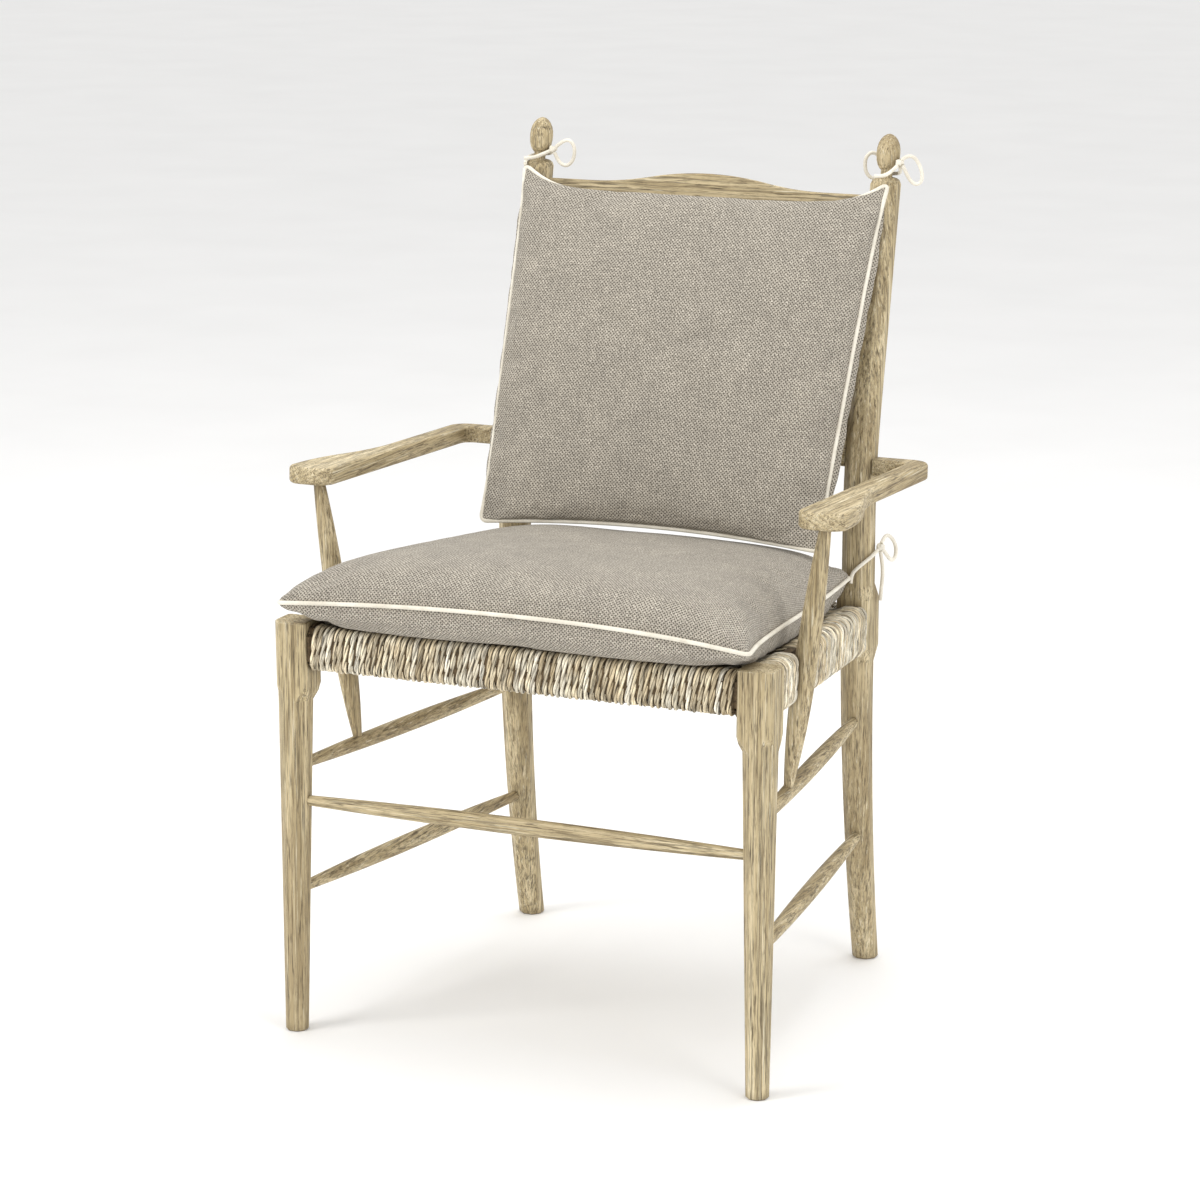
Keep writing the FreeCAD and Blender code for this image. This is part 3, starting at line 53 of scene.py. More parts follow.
camera = link(bpy.data.objects.new("camera", bpy.data.cameras.new("camera")))
camera.location = (1.797, -3.876 - FEET, 1.530)
camera.rotation_euler = (math.radians(90 - 13.12), 0, math.radians(23.69))
camera.data.lens = 120
camera.data.sensor_width = 36
camera.data.clip_end = 50
bpy.context.scene.camera = camera


LIGHTS_AIM = Vector((0, 0, 0.5))


def softbox(name, place, size, power, colour=(1, 1, 1)):
    """A square area light, turned to the middle of the chair."""
    lamp = bpy.data.lights.new(name, "AREA")
    lamp.shape = "RECTANGLE"
    lamp.size = lamp.size_y = size
    lamp.energy = power
    lamp.color = colour
    made = link(bpy.data.objects.new(name, lamp))
    made.location = place
    made.rotation_euler = (LIGHTS_AIM - Vector(place)).to_track_quat("-Z", "Y").to_euler()


softbox("key_light", (-2.2, -2.6, 2.8), 1.6, 62, (1.0, 0.985, 0.955))
softbox("fill_light", (3.6, -1.8, 1.6), 1.8, 40)
softbox("top_light", (0.2, 0.6, 3.6), 2.4, 48)

world = bpy.data.worlds.new("studio")
bpy.context.scene.world = world
world.use_nodes = True
backdrop = world.node_tree.nodes["Background"]
backdrop.inputs["Color"].default_value = (1, 0.995, 0.985, 1)
backdrop.inputs["Strength"].default_value = 0.86
bpy.context.scene.view_settings.view_transform = "Standard"

# ---------------------------------------------------------------- material helpers


class Graph:
    """A new node material with short calls for the nodes that it needs."""

    def __init__(self, name):
        self.material = bpy.data.materials.new(name)
        self.material.use_nodes = True
        self.tree = self.material.node_tree
        self.shader = self.tree.nodes["Principled BSDF"]

    def add(self, kind, settings=None, **inputs):
        node = self.tree.nodes.new(kind)
        for key, setting in (settings or {}).items():
            setattr(node, key, setting)
        for key, given in inputs.items():
            self.set(node, key.replace("_", " "), given)
        return node

    def set(self, node, key, given):
        socket = node.inputs[int(key) if key.isdigit() else key]
        if isinstance(given, bpy.types.NodeSocket):
            self.tree.links.new(given, socket)
        else:
            socket.default_value = given

    def math(self, how, first, second=0.0):
        node = self.tree.nodes.new("ShaderNodeMath")
        node.operation = how
        self.set(node, "0", first)
        self.set(node, "1", second)
        return node.outputs[0]

    def stretch(self, vector, scale):
        mapping = self.add("ShaderNodeMapping", Vector=vector)
        mapping.inputs["Scale"].default_value = scale
        return mapping.outputs["Vector"]

    def coords(self, scale=(1, 1, 1)):
        source = self.add("ShaderNodeTexCoord")
        return self.stretch(source.outputs["Object"], scale)

    def noise(self, vector, scale, detail=4.0, roughness=0.5, distortion=0.0):
        node = self.add("ShaderNodeTexNoise", Vector=vector)
        node.inputs["Scale"].default_value = scale
        node.inputs["Detail"].default_value = detail
        node.inputs["Roughness"].default_value = roughness
        node.inputs["Distortion"].default_value = distortion
        return node.outputs["Fac"]

    def wave(self, vector, kind, direction, scale, distortion, detail_scale):
        node = self.add(
            "ShaderNodeTexWave",
            {"wave_type": kind, f"{kind.lower()}_direction": direction, "wave_profile": "SIN"},
            Vector=vector,
        )
        node.inputs["Scale"].default_value = scale
        node.inputs["Distortion"].default_value = distortion
        node.inputs["Detail"].default_value = 2
        node.inputs["Detail Scale"].default_value = detail_scale
        return node.outputs["Fac"]

    def ramp(self, factor, stops):
        node = self.add("ShaderNodeValToRGB", Fac=factor)
        elements = node.color_ramp.elements
        while len(elements) < len(stops):
            elements.new(0.5)
        for element, (place, colour) in zip(elements, stops):
            element.position = place
            if isinstance(colour, (int, float)):
                colour = (colour, colour, colour)
            element.color = (*colour, 1)
        return node.outputs["Color"]

    def mix(self, factor, first, second, blend="MIX"):
        node = self.tree.nodes.new("ShaderNodeMix")
        node.data_type = "RGBA"
        node.blend_type = blend
        for key, given in (("Factor", factor), (6, first), (7, second)):
            socket = node.inputs[key]
            if isinstance(given, bpy.types.NodeSocket):
                self.tree.links.new(given, socket)
            elif key == "Factor":
                socket.default_value = given
            else:
                socket.default_value = (*given, 1)
        return node.outputs[2]

    def bump(self, height, strength, distance, normal=None):
        node = self.add("ShaderNodeBump", Height=height)
        node.inputs["Strength"].default_value = strength
        node.inputs["Distance"].default_value = distance
        if normal is not None:
            self.tree.links.new(normal, node.inputs["Normal"])
        return node.outputs["Normal"]

    def rounded(self, radius):
        """The surface's normal as if its edges were rounded by the radius."""
        node = self.add("ShaderNodeBevel", {"samples": 4})
        node.inputs["Radius"].default_value = radius
        return node.outputs["Normal"]

    def hollows(self, distance, deep, shallow):
        """Ambient occlusion as a mask for painted shade: one in the corners and hollows, down to
        nothing on open faces.
        """
        node = self.add("ShaderNodeAmbientOcclusion", {"samples": 5})
        node.inputs["Distance"].default_value = distance
        return self.ramp(node.outputs["AO"], [(deep, 1.0), (shallow, 0.0)])

    def finish(self, colour, roughness, normal=None):
        self.set(self.shader, "Base Color", colour)
        self.set(self.shader, "Roughness", roughness)
        if normal is not None:
            self.tree.links.new(normal, self.shader.inputs["Normal"])
        return self.material


def washed_wood(name, along):
    """Open-grained wood under a pale limed wash, with its grain along one axis."""
    g = Graph(name)

    def stretched(share):
        scale = [1.0, 1.0, 1.0]
        scale["xyz".index(along)] = share
        return g.coords(scale)

    long, short, wide = stretched(0.022), stretched(0.06), stretched(0.2)
    figure = g.noise(long, 70, 5, 0.6, 0.5)
    rings = g.wave(long, "RINGS", along.upper(), 62, 7.0, 9.0)
    lines = g.noise(long, 420, 4, 0.7, 0.4)
    dashes = g.noise(short, 480, 3, 0.62, 0.2)
    pores = g.noise(short, 1150, 2, 0.55)
    blotch = g.noise(wide, 13, 4, 0.6)
    colour = g.ramp(
        figure,
        [
            (0.30, (0.30, 0.228, 0.118)),
            (0.44, (0.46, 0.375, 0.220)),
            (0.56, (0.58, 0.485, 0.305)),
            (0.70, (0.72, 0.625, 0.425)),
        ],
    )
    growth = g.ramp(rings, [(0.04, 0.36), (0.20, 0.82), (0.42, 1.0)])
    colour = g.mix(g.ramp(blotch, [(0.35, 0.3), (0.6, 0.95)]), colour, growth, "MULTIPLY")
    line = g.ramp(lines, [(0.36, 1.0), (0.46, 0.0)])
    colour = g.mix(g.math("MULTIPLY", line, 0.84), colour, (0.175, 0.128, 0.062))
    shade = g.ramp(blotch, [(0.3, (0.74, 0.69, 0.61)), (0.66, (1.12, 1.11, 1.08))])
    colour = g.mix(0.85, colour, shade, "MULTIPLY")
    dash = g.ramp(dashes, [(0.33, 1.0), (0.445, 0.0)])
    pore = g.ramp(pores, [(0.34, 1.0), (0.43, 0.0)])
    colour = g.mix(g.math("MULTIPLY", dash, 0.85), colour, (0.085, 0.060, 0.028))
    colour = g.mix(g.math("MULTIPLY", pore, 0.55), colour, (0.15, 0.11, 0.055))
    lime = g.ramp(lines, [(0.58, 0.0), (0.70, 0.75)])
    colour = g.mix(lime, colour, (0.86, 0.79, 0.60))
    # Edges paler in patches, partly wear of the wash and partly a painted highlight; painted shade
    # darkens the corners and hollows.
    shape = g.add("ShaderNodeNewGeometry")
    product = g.add("ShaderNodeVectorMath", {"operation": "DOT_PRODUCT"})
    g.tree.links.new(g.rounded(0.0024), product.inputs[0])
    g.tree.links.new(shape.outputs["Normal"], product.inputs[1])
    # Partly wear, partly a painted highlight: every rounded edge is painted paler, broken into
    # patches.
    edge_wear_and_highlight = g.ramp(product.outputs["Value"], [(0.86, 1.0), (0.992, 0.0)])
    rub = g.ramp(g.noise(wide, 60, 3, 0.6), [(0.4, 0.1), (0.62, 0.8)])
    colour = g.mix(g.math("MULTIPLY", edge_wear_and_highlight, rub), colour, (0.86, 0.79, 0.58))
    # Painted shade: the wood darkened in its corners and hollows, from ambient occlusion.
    painted_shade = g.hollows(0.018, 0.3, 0.78)
    colour = g.mix(g.math("MULTIPLY", painted_shade, 0.7), colour, (0.13, 0.09, 0.04))
    height = g.math("ADD", g.math("MULTIPLY", dashes, 0.7), g.math("MULTIPLY", figure, 0.4))
    normal = g.bump(height, 0.5, 0.0009, g.rounded(0.0016))
    normal = g.bump(g.math("SUBTRACT", 1.0, dash), 0.45, 0.0006, normal)
    roughness = g.math("ADD", g.math("MULTIPLY", dashes, 0.2), 0.52)
    return g.finish(colour, roughness, normal)


def rush_fibre():
    """Twisted rush: every strand has its own tint, with split fibres along each ply."""
    g = Graph("rush_fibre")
    tint = g.add("ShaderNodeAttribute", {"attribute_name": "tint"}).outputs["Color"]
    lie = g.add("ShaderNodeAttribute", {"attribute_name": "fibre"}).outputs["Vector"]
    split = g.noise(lie, 520, 3, 0.7)
    slow = g.noise(g.coords(), 75, 3, 0.6)
    patch = g.noise(lie, 190, 2, 0.5)
    age = g.ramp(slow, [(0.32, (0.60, 0.53, 0.43)), (0.62, (1.1, 1.08, 1.04))])
    cracks = g.ramp(split, [(0.37, 0.06), (0.46, 0.72), (0.60, 1.25)])
    colour = g.mix(0.85, tint, age, "MULTIPLY")
    colour = g.mix(0.8, colour, g.ramp(patch, [(0.34, 0.62), (0.6, 1.12)]), "MULTIPLY")
    colour = g.mix(0.9, colour, cracks, "MULTIPLY")
    # Painted shade: the rush darkened towards near black in its hollows and between its strands,
    # from ambient occlusion.
    painted_shade = g.hollows(0.0055, 0.28, 0.78)
    colour = g.mix(g.math("MULTIPLY", painted_shade, 0.88), colour, (0.055, 0.036, 0.017))
    normal = g.bump(split, 0.6, 0.0009)
    return g.finish(colour, g.math("ADD", g.math("MULTIPLY", split, 0.3), 0.45), normal)


def rush_core_painted_shade():
    """The stuffing between the strands, its near-black colour painted shade."""
    g = Graph("rush_core_painted_shade")
    dark = g.noise(g.coords(), 240, 4, 0.6)
    colour = g.ramp(dark, [(0.35, (0.05, 0.032, 0.015)), (0.7, (0.16, 0.11, 0.055))])
    return g.finish(colour, 0.9, g.bump(dark, 0.6, 0.002))


# A band wave of scale 1 repeats every 0.314 m. The linen's weave repeats every 4.4 mm, which
# is two of its threads.
BAND_WAVE = 0.314
THREAD_REPEAT = 0.0044
CLOTH_MAP = "cloth"
WEAVE = BAND_WAVE / THREAD_REPEAT


def linen():
    """Warm grey linen in a coarse plain weave with slubs, along the cloth's own threads."""
    g = Graph("linen")
    vector = g.add("ShaderNodeUVMap", {"uv_map": CLOTH_MAP}).outputs["UV"]
    warp = g.stretch(vector, (1.0, 0.09, 1.0))
    weft = g.stretch(vector, (0.09, 1.0, 1.0))
    over = [g.wave(vector, "BANDS", axis, WEAVE, 1.3, 2.2) for axis in "XY"]
    gaps = [g.wave(vector, "BANDS", axis, 2 * WEAVE, 1.3, 2.2) for axis in "XY"]
    sides = [g.math("SUBTRACT", wave, 0.5) for wave in over]
    checks = g.math("MULTIPLY", g.math("MULTIPLY", sides[0], sides[1]), 4.0)
    furrow = g.math("MULTIPLY", g.math("ADD", gaps[0], gaps[1]), 0.5)
    slubs = g.math("ADD", g.noise(warp, 420, 3, 0.6), g.noise(weft, 420, 3, 0.6))
    slub = g.math("MULTIPLY", slubs, 0.5)
    speck = g.noise(vector, 420, 3, 0.65)
    blotch = g.noise(vector, 16, 4, 0.6)
    # The weave's relief also sets its colour: the furrows between threads are painted shade and
    # the thread crowns a painted highlight, while the specks are the yarn's own.
    height = g.math("ADD", g.math("MULTIPLY", checks, 0.30), g.math("MULTIPLY", furrow, 0.45))
    shade = g.math("ADD", g.math("MULTIPLY", height, 0.80), g.math("MULTIPLY", speck, 0.55))
    colour = g.ramp(
        shade,
        [
            (0.26, (0.085, 0.074, 0.058)),
            (0.42, (0.215, 0.192, 0.158)),
            (0.56, (0.395, 0.360, 0.304)),
            (0.74, (0.680, 0.640, 0.560)),
        ],
    )
    thick = g.ramp(slub, [(0.40, 0.80), (0.5, 1.0), (0.60, 1.25)])
    cloud = g.ramp(blotch, [(0.32, (0.88, 0.87, 0.86)), (0.68, (1.10, 1.09, 1.07))])
    colour = g.mix(0.75, colour, thick, "MULTIPLY")
    colour = g.mix(0.7, colour, cloud, "MULTIPLY")
    relief = g.math("ADD", height, g.math("MULTIPLY", slub, 0.5))
    normal = g.bump(relief, 0.55, 0.0012)
    g.shader.inputs["Sheen Weight"].default_value = 0.06
    g.shader.inputs["Sheen Roughness"].default_value = 0.6
    return g.finish(colour, g.math("ADD", g.math("MULTIPLY", furrow, 0.1), 0.84), normal)


def cotton_cord():
    """Cream bias piping and ties, with the fine ribs of their cloth."""
    g = Graph("cotton_cord")
    vector = g.coords()
    ribs = g.noise(vector, 1300, 2, 0.5)
    slow = g.noise(vector, 45, 3, 0.5)
    colour = g.ramp(slow, [(0.3, (0.68, 0.63, 0.53)), (0.7, (0.86, 0.82, 0.72))])
    colour = g.mix(0.6, colour, g.ramp(ribs, [(0.3, 0.8), (0.6, 1.04)]), "MULTIPLY")
    normal = g.bump(ribs, 0.4, 0.0006)
    return g.finish(colour, g.math("ADD", g.math("MULTIPLY", ribs, 0.1), 0.78), normal)


def screw_steel():
    """Plain steel with fine brushing marks."""
    g = Graph("screw_steel")
    lines = g.noise(g.coords(), 900, 2, 0.5)
    colour = g.ramp(lines, [(0.3, (0.42, 0.42, 0.43)), (0.7, (0.6, 0.6, 0.61))])
    g.shader.inputs["Metallic"].default_value = 1.0
    return g.finish(colour, g.math("ADD", g.math("MULTIPLY", lines, 0.3), 0.25),
                    g.bump(lines, 0.2, 0.0002))


WOOD = {axis: washed_wood(f"washed_wood_{axis}", axis) for axis in "xyz"}
CORD = cotton_cord()

# ---------------------------------------------------------------- frame

# The axis that each wooden piece's grain runs along.
GRAIN = {
    "x": ("front_seat_rail", "back_seat_rail", "front_stretcher", "crest_rail", "middle_slat",
          "lower_slat"),
    "y": ("side_seat_rail", "upper_side_stretcher", "lower_side_stretcher", "arm_left",
          "arm_right"),
    "z": ("front_leg", "back_post", "arm_support_left", "arm_support_right"),
}


def paint(obj, material):
    """Gives every face of the piece the one material."""
    if not obj.material_slots:
        obj.data.materials.append(material)
    for place in obj.material_slots:
        place.material = material


for axis, prefixes in GRAIN.items():
    for node, obj in NODES.items():
        if node.startswith(prefixes):
            paint(obj, WOOD[axis])
paint(NODES["arm_support_screws"], screw_steel())

# ---------------------------------------------------------------- cords

CORD_RADIUS = 0.0022
# Each tie's knot, measured from midway between the front feet, then the strands, loops and
# tails that leave it, measured from the knot. All run to the sitter's left, back and up.
TIES = {
    "top_right": {
        "knot": (-0.205, 0.545, 0.961),
        "cords": {
            "front_strand": [
                (-0.0032, -0.003, -0.0022),
                (-0.0085, -0.0095, -0.005),
                (-0.0145, -0.0165, -0.008),
                (-0.021, -0.0214, -0.0093),
                (-0.028, -0.0223, -0.0097),
            ],
            "back_strand": [
                (-0.0024, 0.0036, -0.0024),
                (-0.007, 0.011, -0.0065),
                (-0.0155, 0.0155, -0.008),
                (-0.025, 0.0125, -0.0086),
                (-0.031, 0.0045, -0.0096),
                (-0.0325, -0.005, -0.012),
                (-0.0308, -0.013, -0.0146),
                (-0.0283, -0.0194, -0.017),
            ],
            "loop": [
                (0.0039, 0.0002, 0.0029),
                (0.011, 0.001, 0.009),
                (0.02, 0.002, 0.0125),
                (0.027, 0.002, 0.006),
                (0.0285, 0.001, -0.004),
                (0.026, 0, -0.014),
                (0.0185, -0.001, -0.02),
                (0.0105, -0.0015, -0.017),
                (0.0056, -0.0012, -0.0104),
                (0.0024, -0.0008, -0.0042),
            ],
        },
    },
    "top_left": {
        "knot": (0.2425, 0.538, 0.9666),
        "cords": {
            "front_strand": [
                (-0.0019, -0.003, -0.0033),
                (-0.006, -0.009, -0.0087),
                (-0.0112, -0.0136, -0.0129),
                (-0.018, -0.015, -0.0147),
                (-0.025, -0.015, -0.015),
            ],
            "inner_loop": [
                (-0.0003, 0.0048, 0.0007),
                (-0.0015, 0.0125, 0.001),
                (-0.0054, 0.023, -0.0002),
                (-0.0142, 0.0294, -0.0012),
                (-0.025, 0.0292, 0),
                (-0.0345, 0.0245, 0.0046),
                (-0.042, 0.02, 0.0092),
                (-0.0482, 0.0174, 0.0028),
                (-0.0493, 0.017, -0.0074),
                (-0.0468, 0.017, -0.0172),
                (-0.04, 0.0186, -0.0228),
                (-0.031, 0.0214, -0.0202),
                (-0.022, 0.0236, -0.0168),
                (-0.0125, 0.0214, -0.0154),
                (-0.0046, 0.015, -0.014),
                (-0.0014, 0.0079, -0.0088),
                (-0.0002, 0.0028, -0.004),
            ],
            "outer_loop": [
                (0.003, 0.0005, 0.0038),
                (0.009, 0.002, 0.009),
                (0.0165, 0.005, 0.007),
                (0.0215, 0.007, -0.0005),
                (0.025, 0.0075, -0.0095),
                (0.026, 0.007, -0.0185),
                (0.023, 0.0065, -0.024),
                (0.017, 0.0052, -0.025),
                (0.0115, 0.0036, -0.0195),
                (0.0073, 0.0017, -0.011),
                (0.0041, -0.0004, -0.0024),
            ],
        },
    },
    "seat_left": {
        "knot": (0.25, 0.472, 0.521),
        "cords": {
            "strand": [
                (-0.0016, -0.004, -0.0026),
                (-0.005, -0.013, -0.0085),
                (-0.0115, -0.0205, -0.0145),
                (-0.0195, -0.0245, -0.022),
                (-0.0268, -0.0258, -0.0304),
                (-0.0266, -0.027, -0.0404),
            ],
            "loop": [
                (0.0005, 0.002, 0.0044),
                (0.001, 0.01, 0.0105),
                (0.002, 0.02, 0.011),
                (0.0025, 0.0305, 0.006),
                (0.003, 0.04, -0.001),
                (0.003, 0.047, -0.01),
                (0.0025, 0.0475, -0.02),
                (0.0015, 0.04, -0.024),
                (0.001, 0.03, -0.02),
                (0.0005, 0.0205, -0.013),
                (0.0003, 0.0115, -0.0065),
                (0.0004, 0.0042, -0.0026),
            ],
            "tail": [
                (0, 0.0003, -0.0049),
                (0.001, 0.0015, -0.0135),
                (0.0016, 0.004, -0.023),
                (0.0012, 0.0062, -0.0335),
                (0.0002, 0.007, -0.0445),
                (-0.0008, 0.0066, -0.055),
                (-0.001, 0.0058, -0.0655),
            ],
        },
    },
}


def spline_curve(name, points, radius, closed=False):
    """A round cord along one smooth spline through the control points."""
    curve = bpy.data.curves.new(name, "CURVE")
    curve.dimensions = "3D"
    spline = curve.splines.new("NURBS")
    spline.points.add(len(points) - 1)
    for target, point in zip(spline.points, points):
        target.co = (*point, 1)
    spline.order_u = 3
    if closed:
        spline.use_cyclic_u = True
    else:
        spline.use_endpoint_u = True
    spline.resolution_u = 10
    curve.bevel_depth = radius
    curve.bevel_resolution = 5
    curve.use_fill_caps = True
    curve.materials.append(CORD)
    return link(bpy.data.objects.new(name, curve))


KNOT_SIZE = 0.0052
KNOT_TURNS = 2.6
KNOT_POINTS = 40


def tied_knot(name, centre):
    """A knot: turns of cord pulled into a small bundle, slightly uneven."""
    rng = np.random.default_rng(int(abs(centre.x) * 1e5) + int(centre.z * 1e3))
    size = KNOT_SIZE
    points = []
    for step in range(KNOT_POINTS):
        t = step / (KNOT_POINTS - 1)
        angle = 2 * math.pi * KNOT_TURNS * t
        lean = 0.9 * math.sin(2.2 * angle)
        reach = size * (0.55 + 0.12 * math.sin(3.1 * angle))
        offset = Vector(
            (
                reach * math.cos(angle),
                reach * math.sin(angle) * 0.8,
                size * 0.33 * lean + 0.0006 * rng.standard_normal(),
            )
        )
        points.append(centre + offset)
    return spline_curve(name, points, CORD_RADIUS)


for tie, parts in TIES.items():
    centre = Vector(parts["knot"]) - Vector((0, FEET, 0))
    knot = tied_knot(f"knot_{tie}", centre)
    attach(knot, BODY)
    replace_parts(knot, f"tie_{tie}_knot")
    for number, (label, offsets) in enumerate(parts["cords"].items()):
        name = f"tie_{tie}_{label}"
        points = [centre + Vector(offset) for offset in offsets]
        piece = spline_curve(f"cord_{tie}_{label}", points, CORD_RADIUS)
        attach(piece, BODY)
        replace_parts(piece, name)

# ---------------------------------------------------------------- cushions

LINEN = linen()


def ripple(rng, count, low, high):
    """A sum of sines round a closed seam, for puckers that never repeat in step."""
    waves = [(int(rng.integers(low, high)), rng.uniform(0, 2 * math.pi), rng.uniform(0.4, 1))
             for _ in range(count)]
    total = sum(wave[2] for wave in waves)

    def height(t):
        return sum(size * np.sin(2 * math.pi * n * t + phase) for n, phase, size in waves) / total

    return height


def spread(count):
    """Even steps from -1 to 1, drawn a little closer towards both ends."""
    even = np.linspace(-1, 1, count)
    return 0.5 * np.sin(even * math.pi / 2) + 0.5 * even


def past(inset, peak=0.04):
    """How far the cloth stands past the seam: nothing at the seam, most at the peak."""
    return inset / peak * np.exp(1 - inset / peak)


def thread_lies(points):
    """How far each point of a panel lies along its threads, in metres from the middle."""
    lies = []
    for axis in (0, 1):
        step = np.linalg.norm(np.diff(points, axis=axis), axis=-1)
        run = np.insert(np.cumsum(step, axis=axis), 0, 0, axis=axis)
        lies.append(run - np.take(run, [run.shape[axis] // 2], axis=axis))
    return np.stack(lies, -1)


# The points across and along a panel, how far the under panel's threads start from the upper
# one's, so that their blotches differ, and the steps along each side of the seam.
PANEL_GRID = (90, 80)
UNDER_SHIFT = 2
SEAM_STEPS = 22
# The depth of the puckers at a seam, and of the slow unevenness of the filling.
PUCKER = 0.0016
UNEVEN = 0.0022


class Cushion:
    """A cushion's seam line and panels in its own frame: across, along, and out of the panel."""

    def __init__(self, place, low_half, high_half, length, pulls, lift, seed):
        self.place = place
        self.low_half, self.high_half, self.length = low_half, high_half, length
        self.pull_low, self.pull_high, self.pull_side = pulls
        self.lift = lift
        rng = np.random.default_rng(seed)
        self.wave = ripple(rng, 7, 18, 60)
        self.slow = ripple(rng, 4, 3, 9)

    def flat(self, a, b):
        """The flat cut of the panel, its edges pulled in between the corners."""
        share = (b + 1) / 2
        half = self.low_half + (self.high_half - self.low_half) * share
        x = a * half - np.sign(a) * np.abs(a) ** 3 * self.pull_side * (1 - b**6)
        y = share * self.length
        y = y + self.pull_low * (1 - a**2) * (1 - share) ** 3
        y = y - self.pull_high * (1 - a**6) * share**3
        return x, y

    def panel(self, side, sign):
        """One panel's points, domed to its thickness with puckers along the seam.

        Between the corners it swells a little past the seam before it turns up.
        """
        across, along = map(spread, PANEL_GRID)
        a, b = np.meshgrid(across, along, indexing="ij")
        x, y = self.flat(a, b)
        low, high, flank = side["swell"]
        x = x + np.sign(a) * flank * past(1 - np.abs(a)) * (1 - b**6)
        y = y + np.where(b < 0, -low, high) * past(1 - np.abs(b)) * (1 - a**6)
        round_by = side["round"]
        dome = ((1 - np.abs(a) ** round_by) * (1 - np.abs(b) ** round_by)) ** side["power"]
        edge = np.minimum(1 - np.abs(a), 1 - np.abs(b))
        around = np.arctan2(b, a) / (2 * math.pi)
        pucker = self.wave(around) * np.exp(-edge / 0.09) * (1 - np.exp(-edge / 0.018)) * PUCKER
        ease = self.slow(around) * (1 - np.exp(-edge / 0.2)) * UNEVEN
        z = sign * (side["thick"] * dome + pucker + ease * dome) + self.lift(a, b)
        if "bed" in side:
            z = np.where(edge > 0, np.maximum(z, side["bed"](y)), z)
        return np.stack([x, y, z], -1)

    def mesh(self, name, over, under):
        """The closed cover: both panels share their border, which is the seam."""
        top = self.panel(over, 1)
        base = self.panel(under, -1)
        n, m = PANEL_GRID
        index = np.arange(n * m).reshape(n, m)
        other = index + n * m
        border = np.zeros((n, m), bool)
        border[[0, -1], :] = True
        border[:, [0, -1]] = True
        other[border] = index[border]
        points = np.concatenate([top.reshape(-1, 3), base.reshape(-1, 3)])
        faces = []
        cloth = []
        lies = (thread_lies(top), thread_lies(base) + UNDER_SHIFT)
        for i in range(n - 1):
            for j in range(m - 1):
                turn = ((i, j), (i + 1, j), (i + 1, j + 1), (i, j + 1))
                back = (turn[0], turn[3], turn[2], turn[1])
                faces.append([index[k] for k in turn])
                faces.append([other[k] for k in back])
                cloth += [lies[0][k] for k in turn] + [lies[1][k] for k in back]
        used = np.unique(np.array(faces))
        renumber = -np.ones(len(points), int)
        renumber[used] = np.arange(len(used))
        made = bpy.data.meshes.new(name)
        made.from_pydata(points[used].tolist(), [], renumber[np.array(faces)].tolist())
        made.transform(self.place)
        made.uv_layers.new(name=CLOTH_MAP).data.foreach_set("uv", np.array(cloth).ravel())
        obj = link(bpy.data.objects.new(name, made))
        made.polygons.foreach_set("use_smooth", [True] * len(made.polygons))
        group = obj.vertex_groups.new(name="seam")
        group.add([int(renumber[k]) for k in index[border]], 1.0, "REPLACE")
        return obj

    def settle(self, obj, rest):
        """Flattens what has swollen below the surface that the cushion lies on."""
        out_of = self.place.inverted()
        for vertex in obj.data.vertices:
            local = out_of @ vertex.co
            local.z = max(local.z, rest(local.x, local.y))
            vertex.co = self.place @ local
        obj.data.update()

    def seam(self, away):
        """Control points of the seam's line, a little outside the panels' edge."""
        line = []
        run = np.linspace(-1, 1, SEAM_STEPS, endpoint=False)
        loop = [(t, -1) for t in run] + [(1, t) for t in run]
        loop += [(-t, 1) for t in run] + [(-1, -t) for t in run]
        for a, b in loop:
            x, y = self.flat(np.float64(a), np.float64(b))
            grow = Vector((a if abs(a) > abs(b) else a**9, b if abs(b) > abs(a) else b**9, 0))
            grow = grow.normalized() * away
            height = float(self.lift(np.float64(a), np.float64(b)))
            line.append(self.place @ (Vector((float(x), float(y), height)) + grow))
        return line


# The cover's cloth simulation: its frames, its pressure and the furthest that it may move.
CLOTH_FRAMES = 20
PRESSURE = 1.6
CAP = 0.004


def inflate(obj):
    """Lets the cover swell and crease as cloth under pressure, sewn fast at its seam."""
    start = np.array([v.co for v in obj.data.vertices])
    cloth = obj.modifiers.new("cloth", "CLOTH")
    settings = cloth.settings
    settings.quality = 6
    settings.mass = 0.25
    settings.tension_stiffness = settings.compression_stiffness = 18
    settings.shear_stiffness = 6
    settings.bending_stiffness = 0.12
    settings.air_damping = 3
    settings.use_pressure = True
    settings.uniform_pressure_force = PRESSURE
    settings.shrink_min = -0.022
    settings.vertex_group_mass = "seam"
    settings.effector_weights.gravity = 0
    cloth.collision_settings.use_collision = False
    cloth.point_cache.frame_start = 1
    cloth.point_cache.frame_end = CLOTH_FRAMES
    for step in range(1, CLOTH_FRAMES + 1):
        bpy.context.scene.frame_set(step)
    graph = bpy.context.evaluated_depsgraph_get()
    shaped = obj.evaluated_get(graph).to_mesh()
    end = np.array([v.co for v in shaped.vertices])
    obj.evaluated_get(graph).to_mesh_clear()
    obj.modifiers.remove(cloth)
    bpy.context.scene.frame_set(1)
    move = end - start
    size = np.linalg.norm(move, axis=1, keepdims=True)
    move *= CAP * np.tanh(size / CAP) / np.maximum(size, 1e-9)
    obj.data.vertices.foreach_set("co", (start + move).ravel())
    obj.data.update()


PIPING_RADIUS = 0.0024
PIPING_AWAY = 0.0012


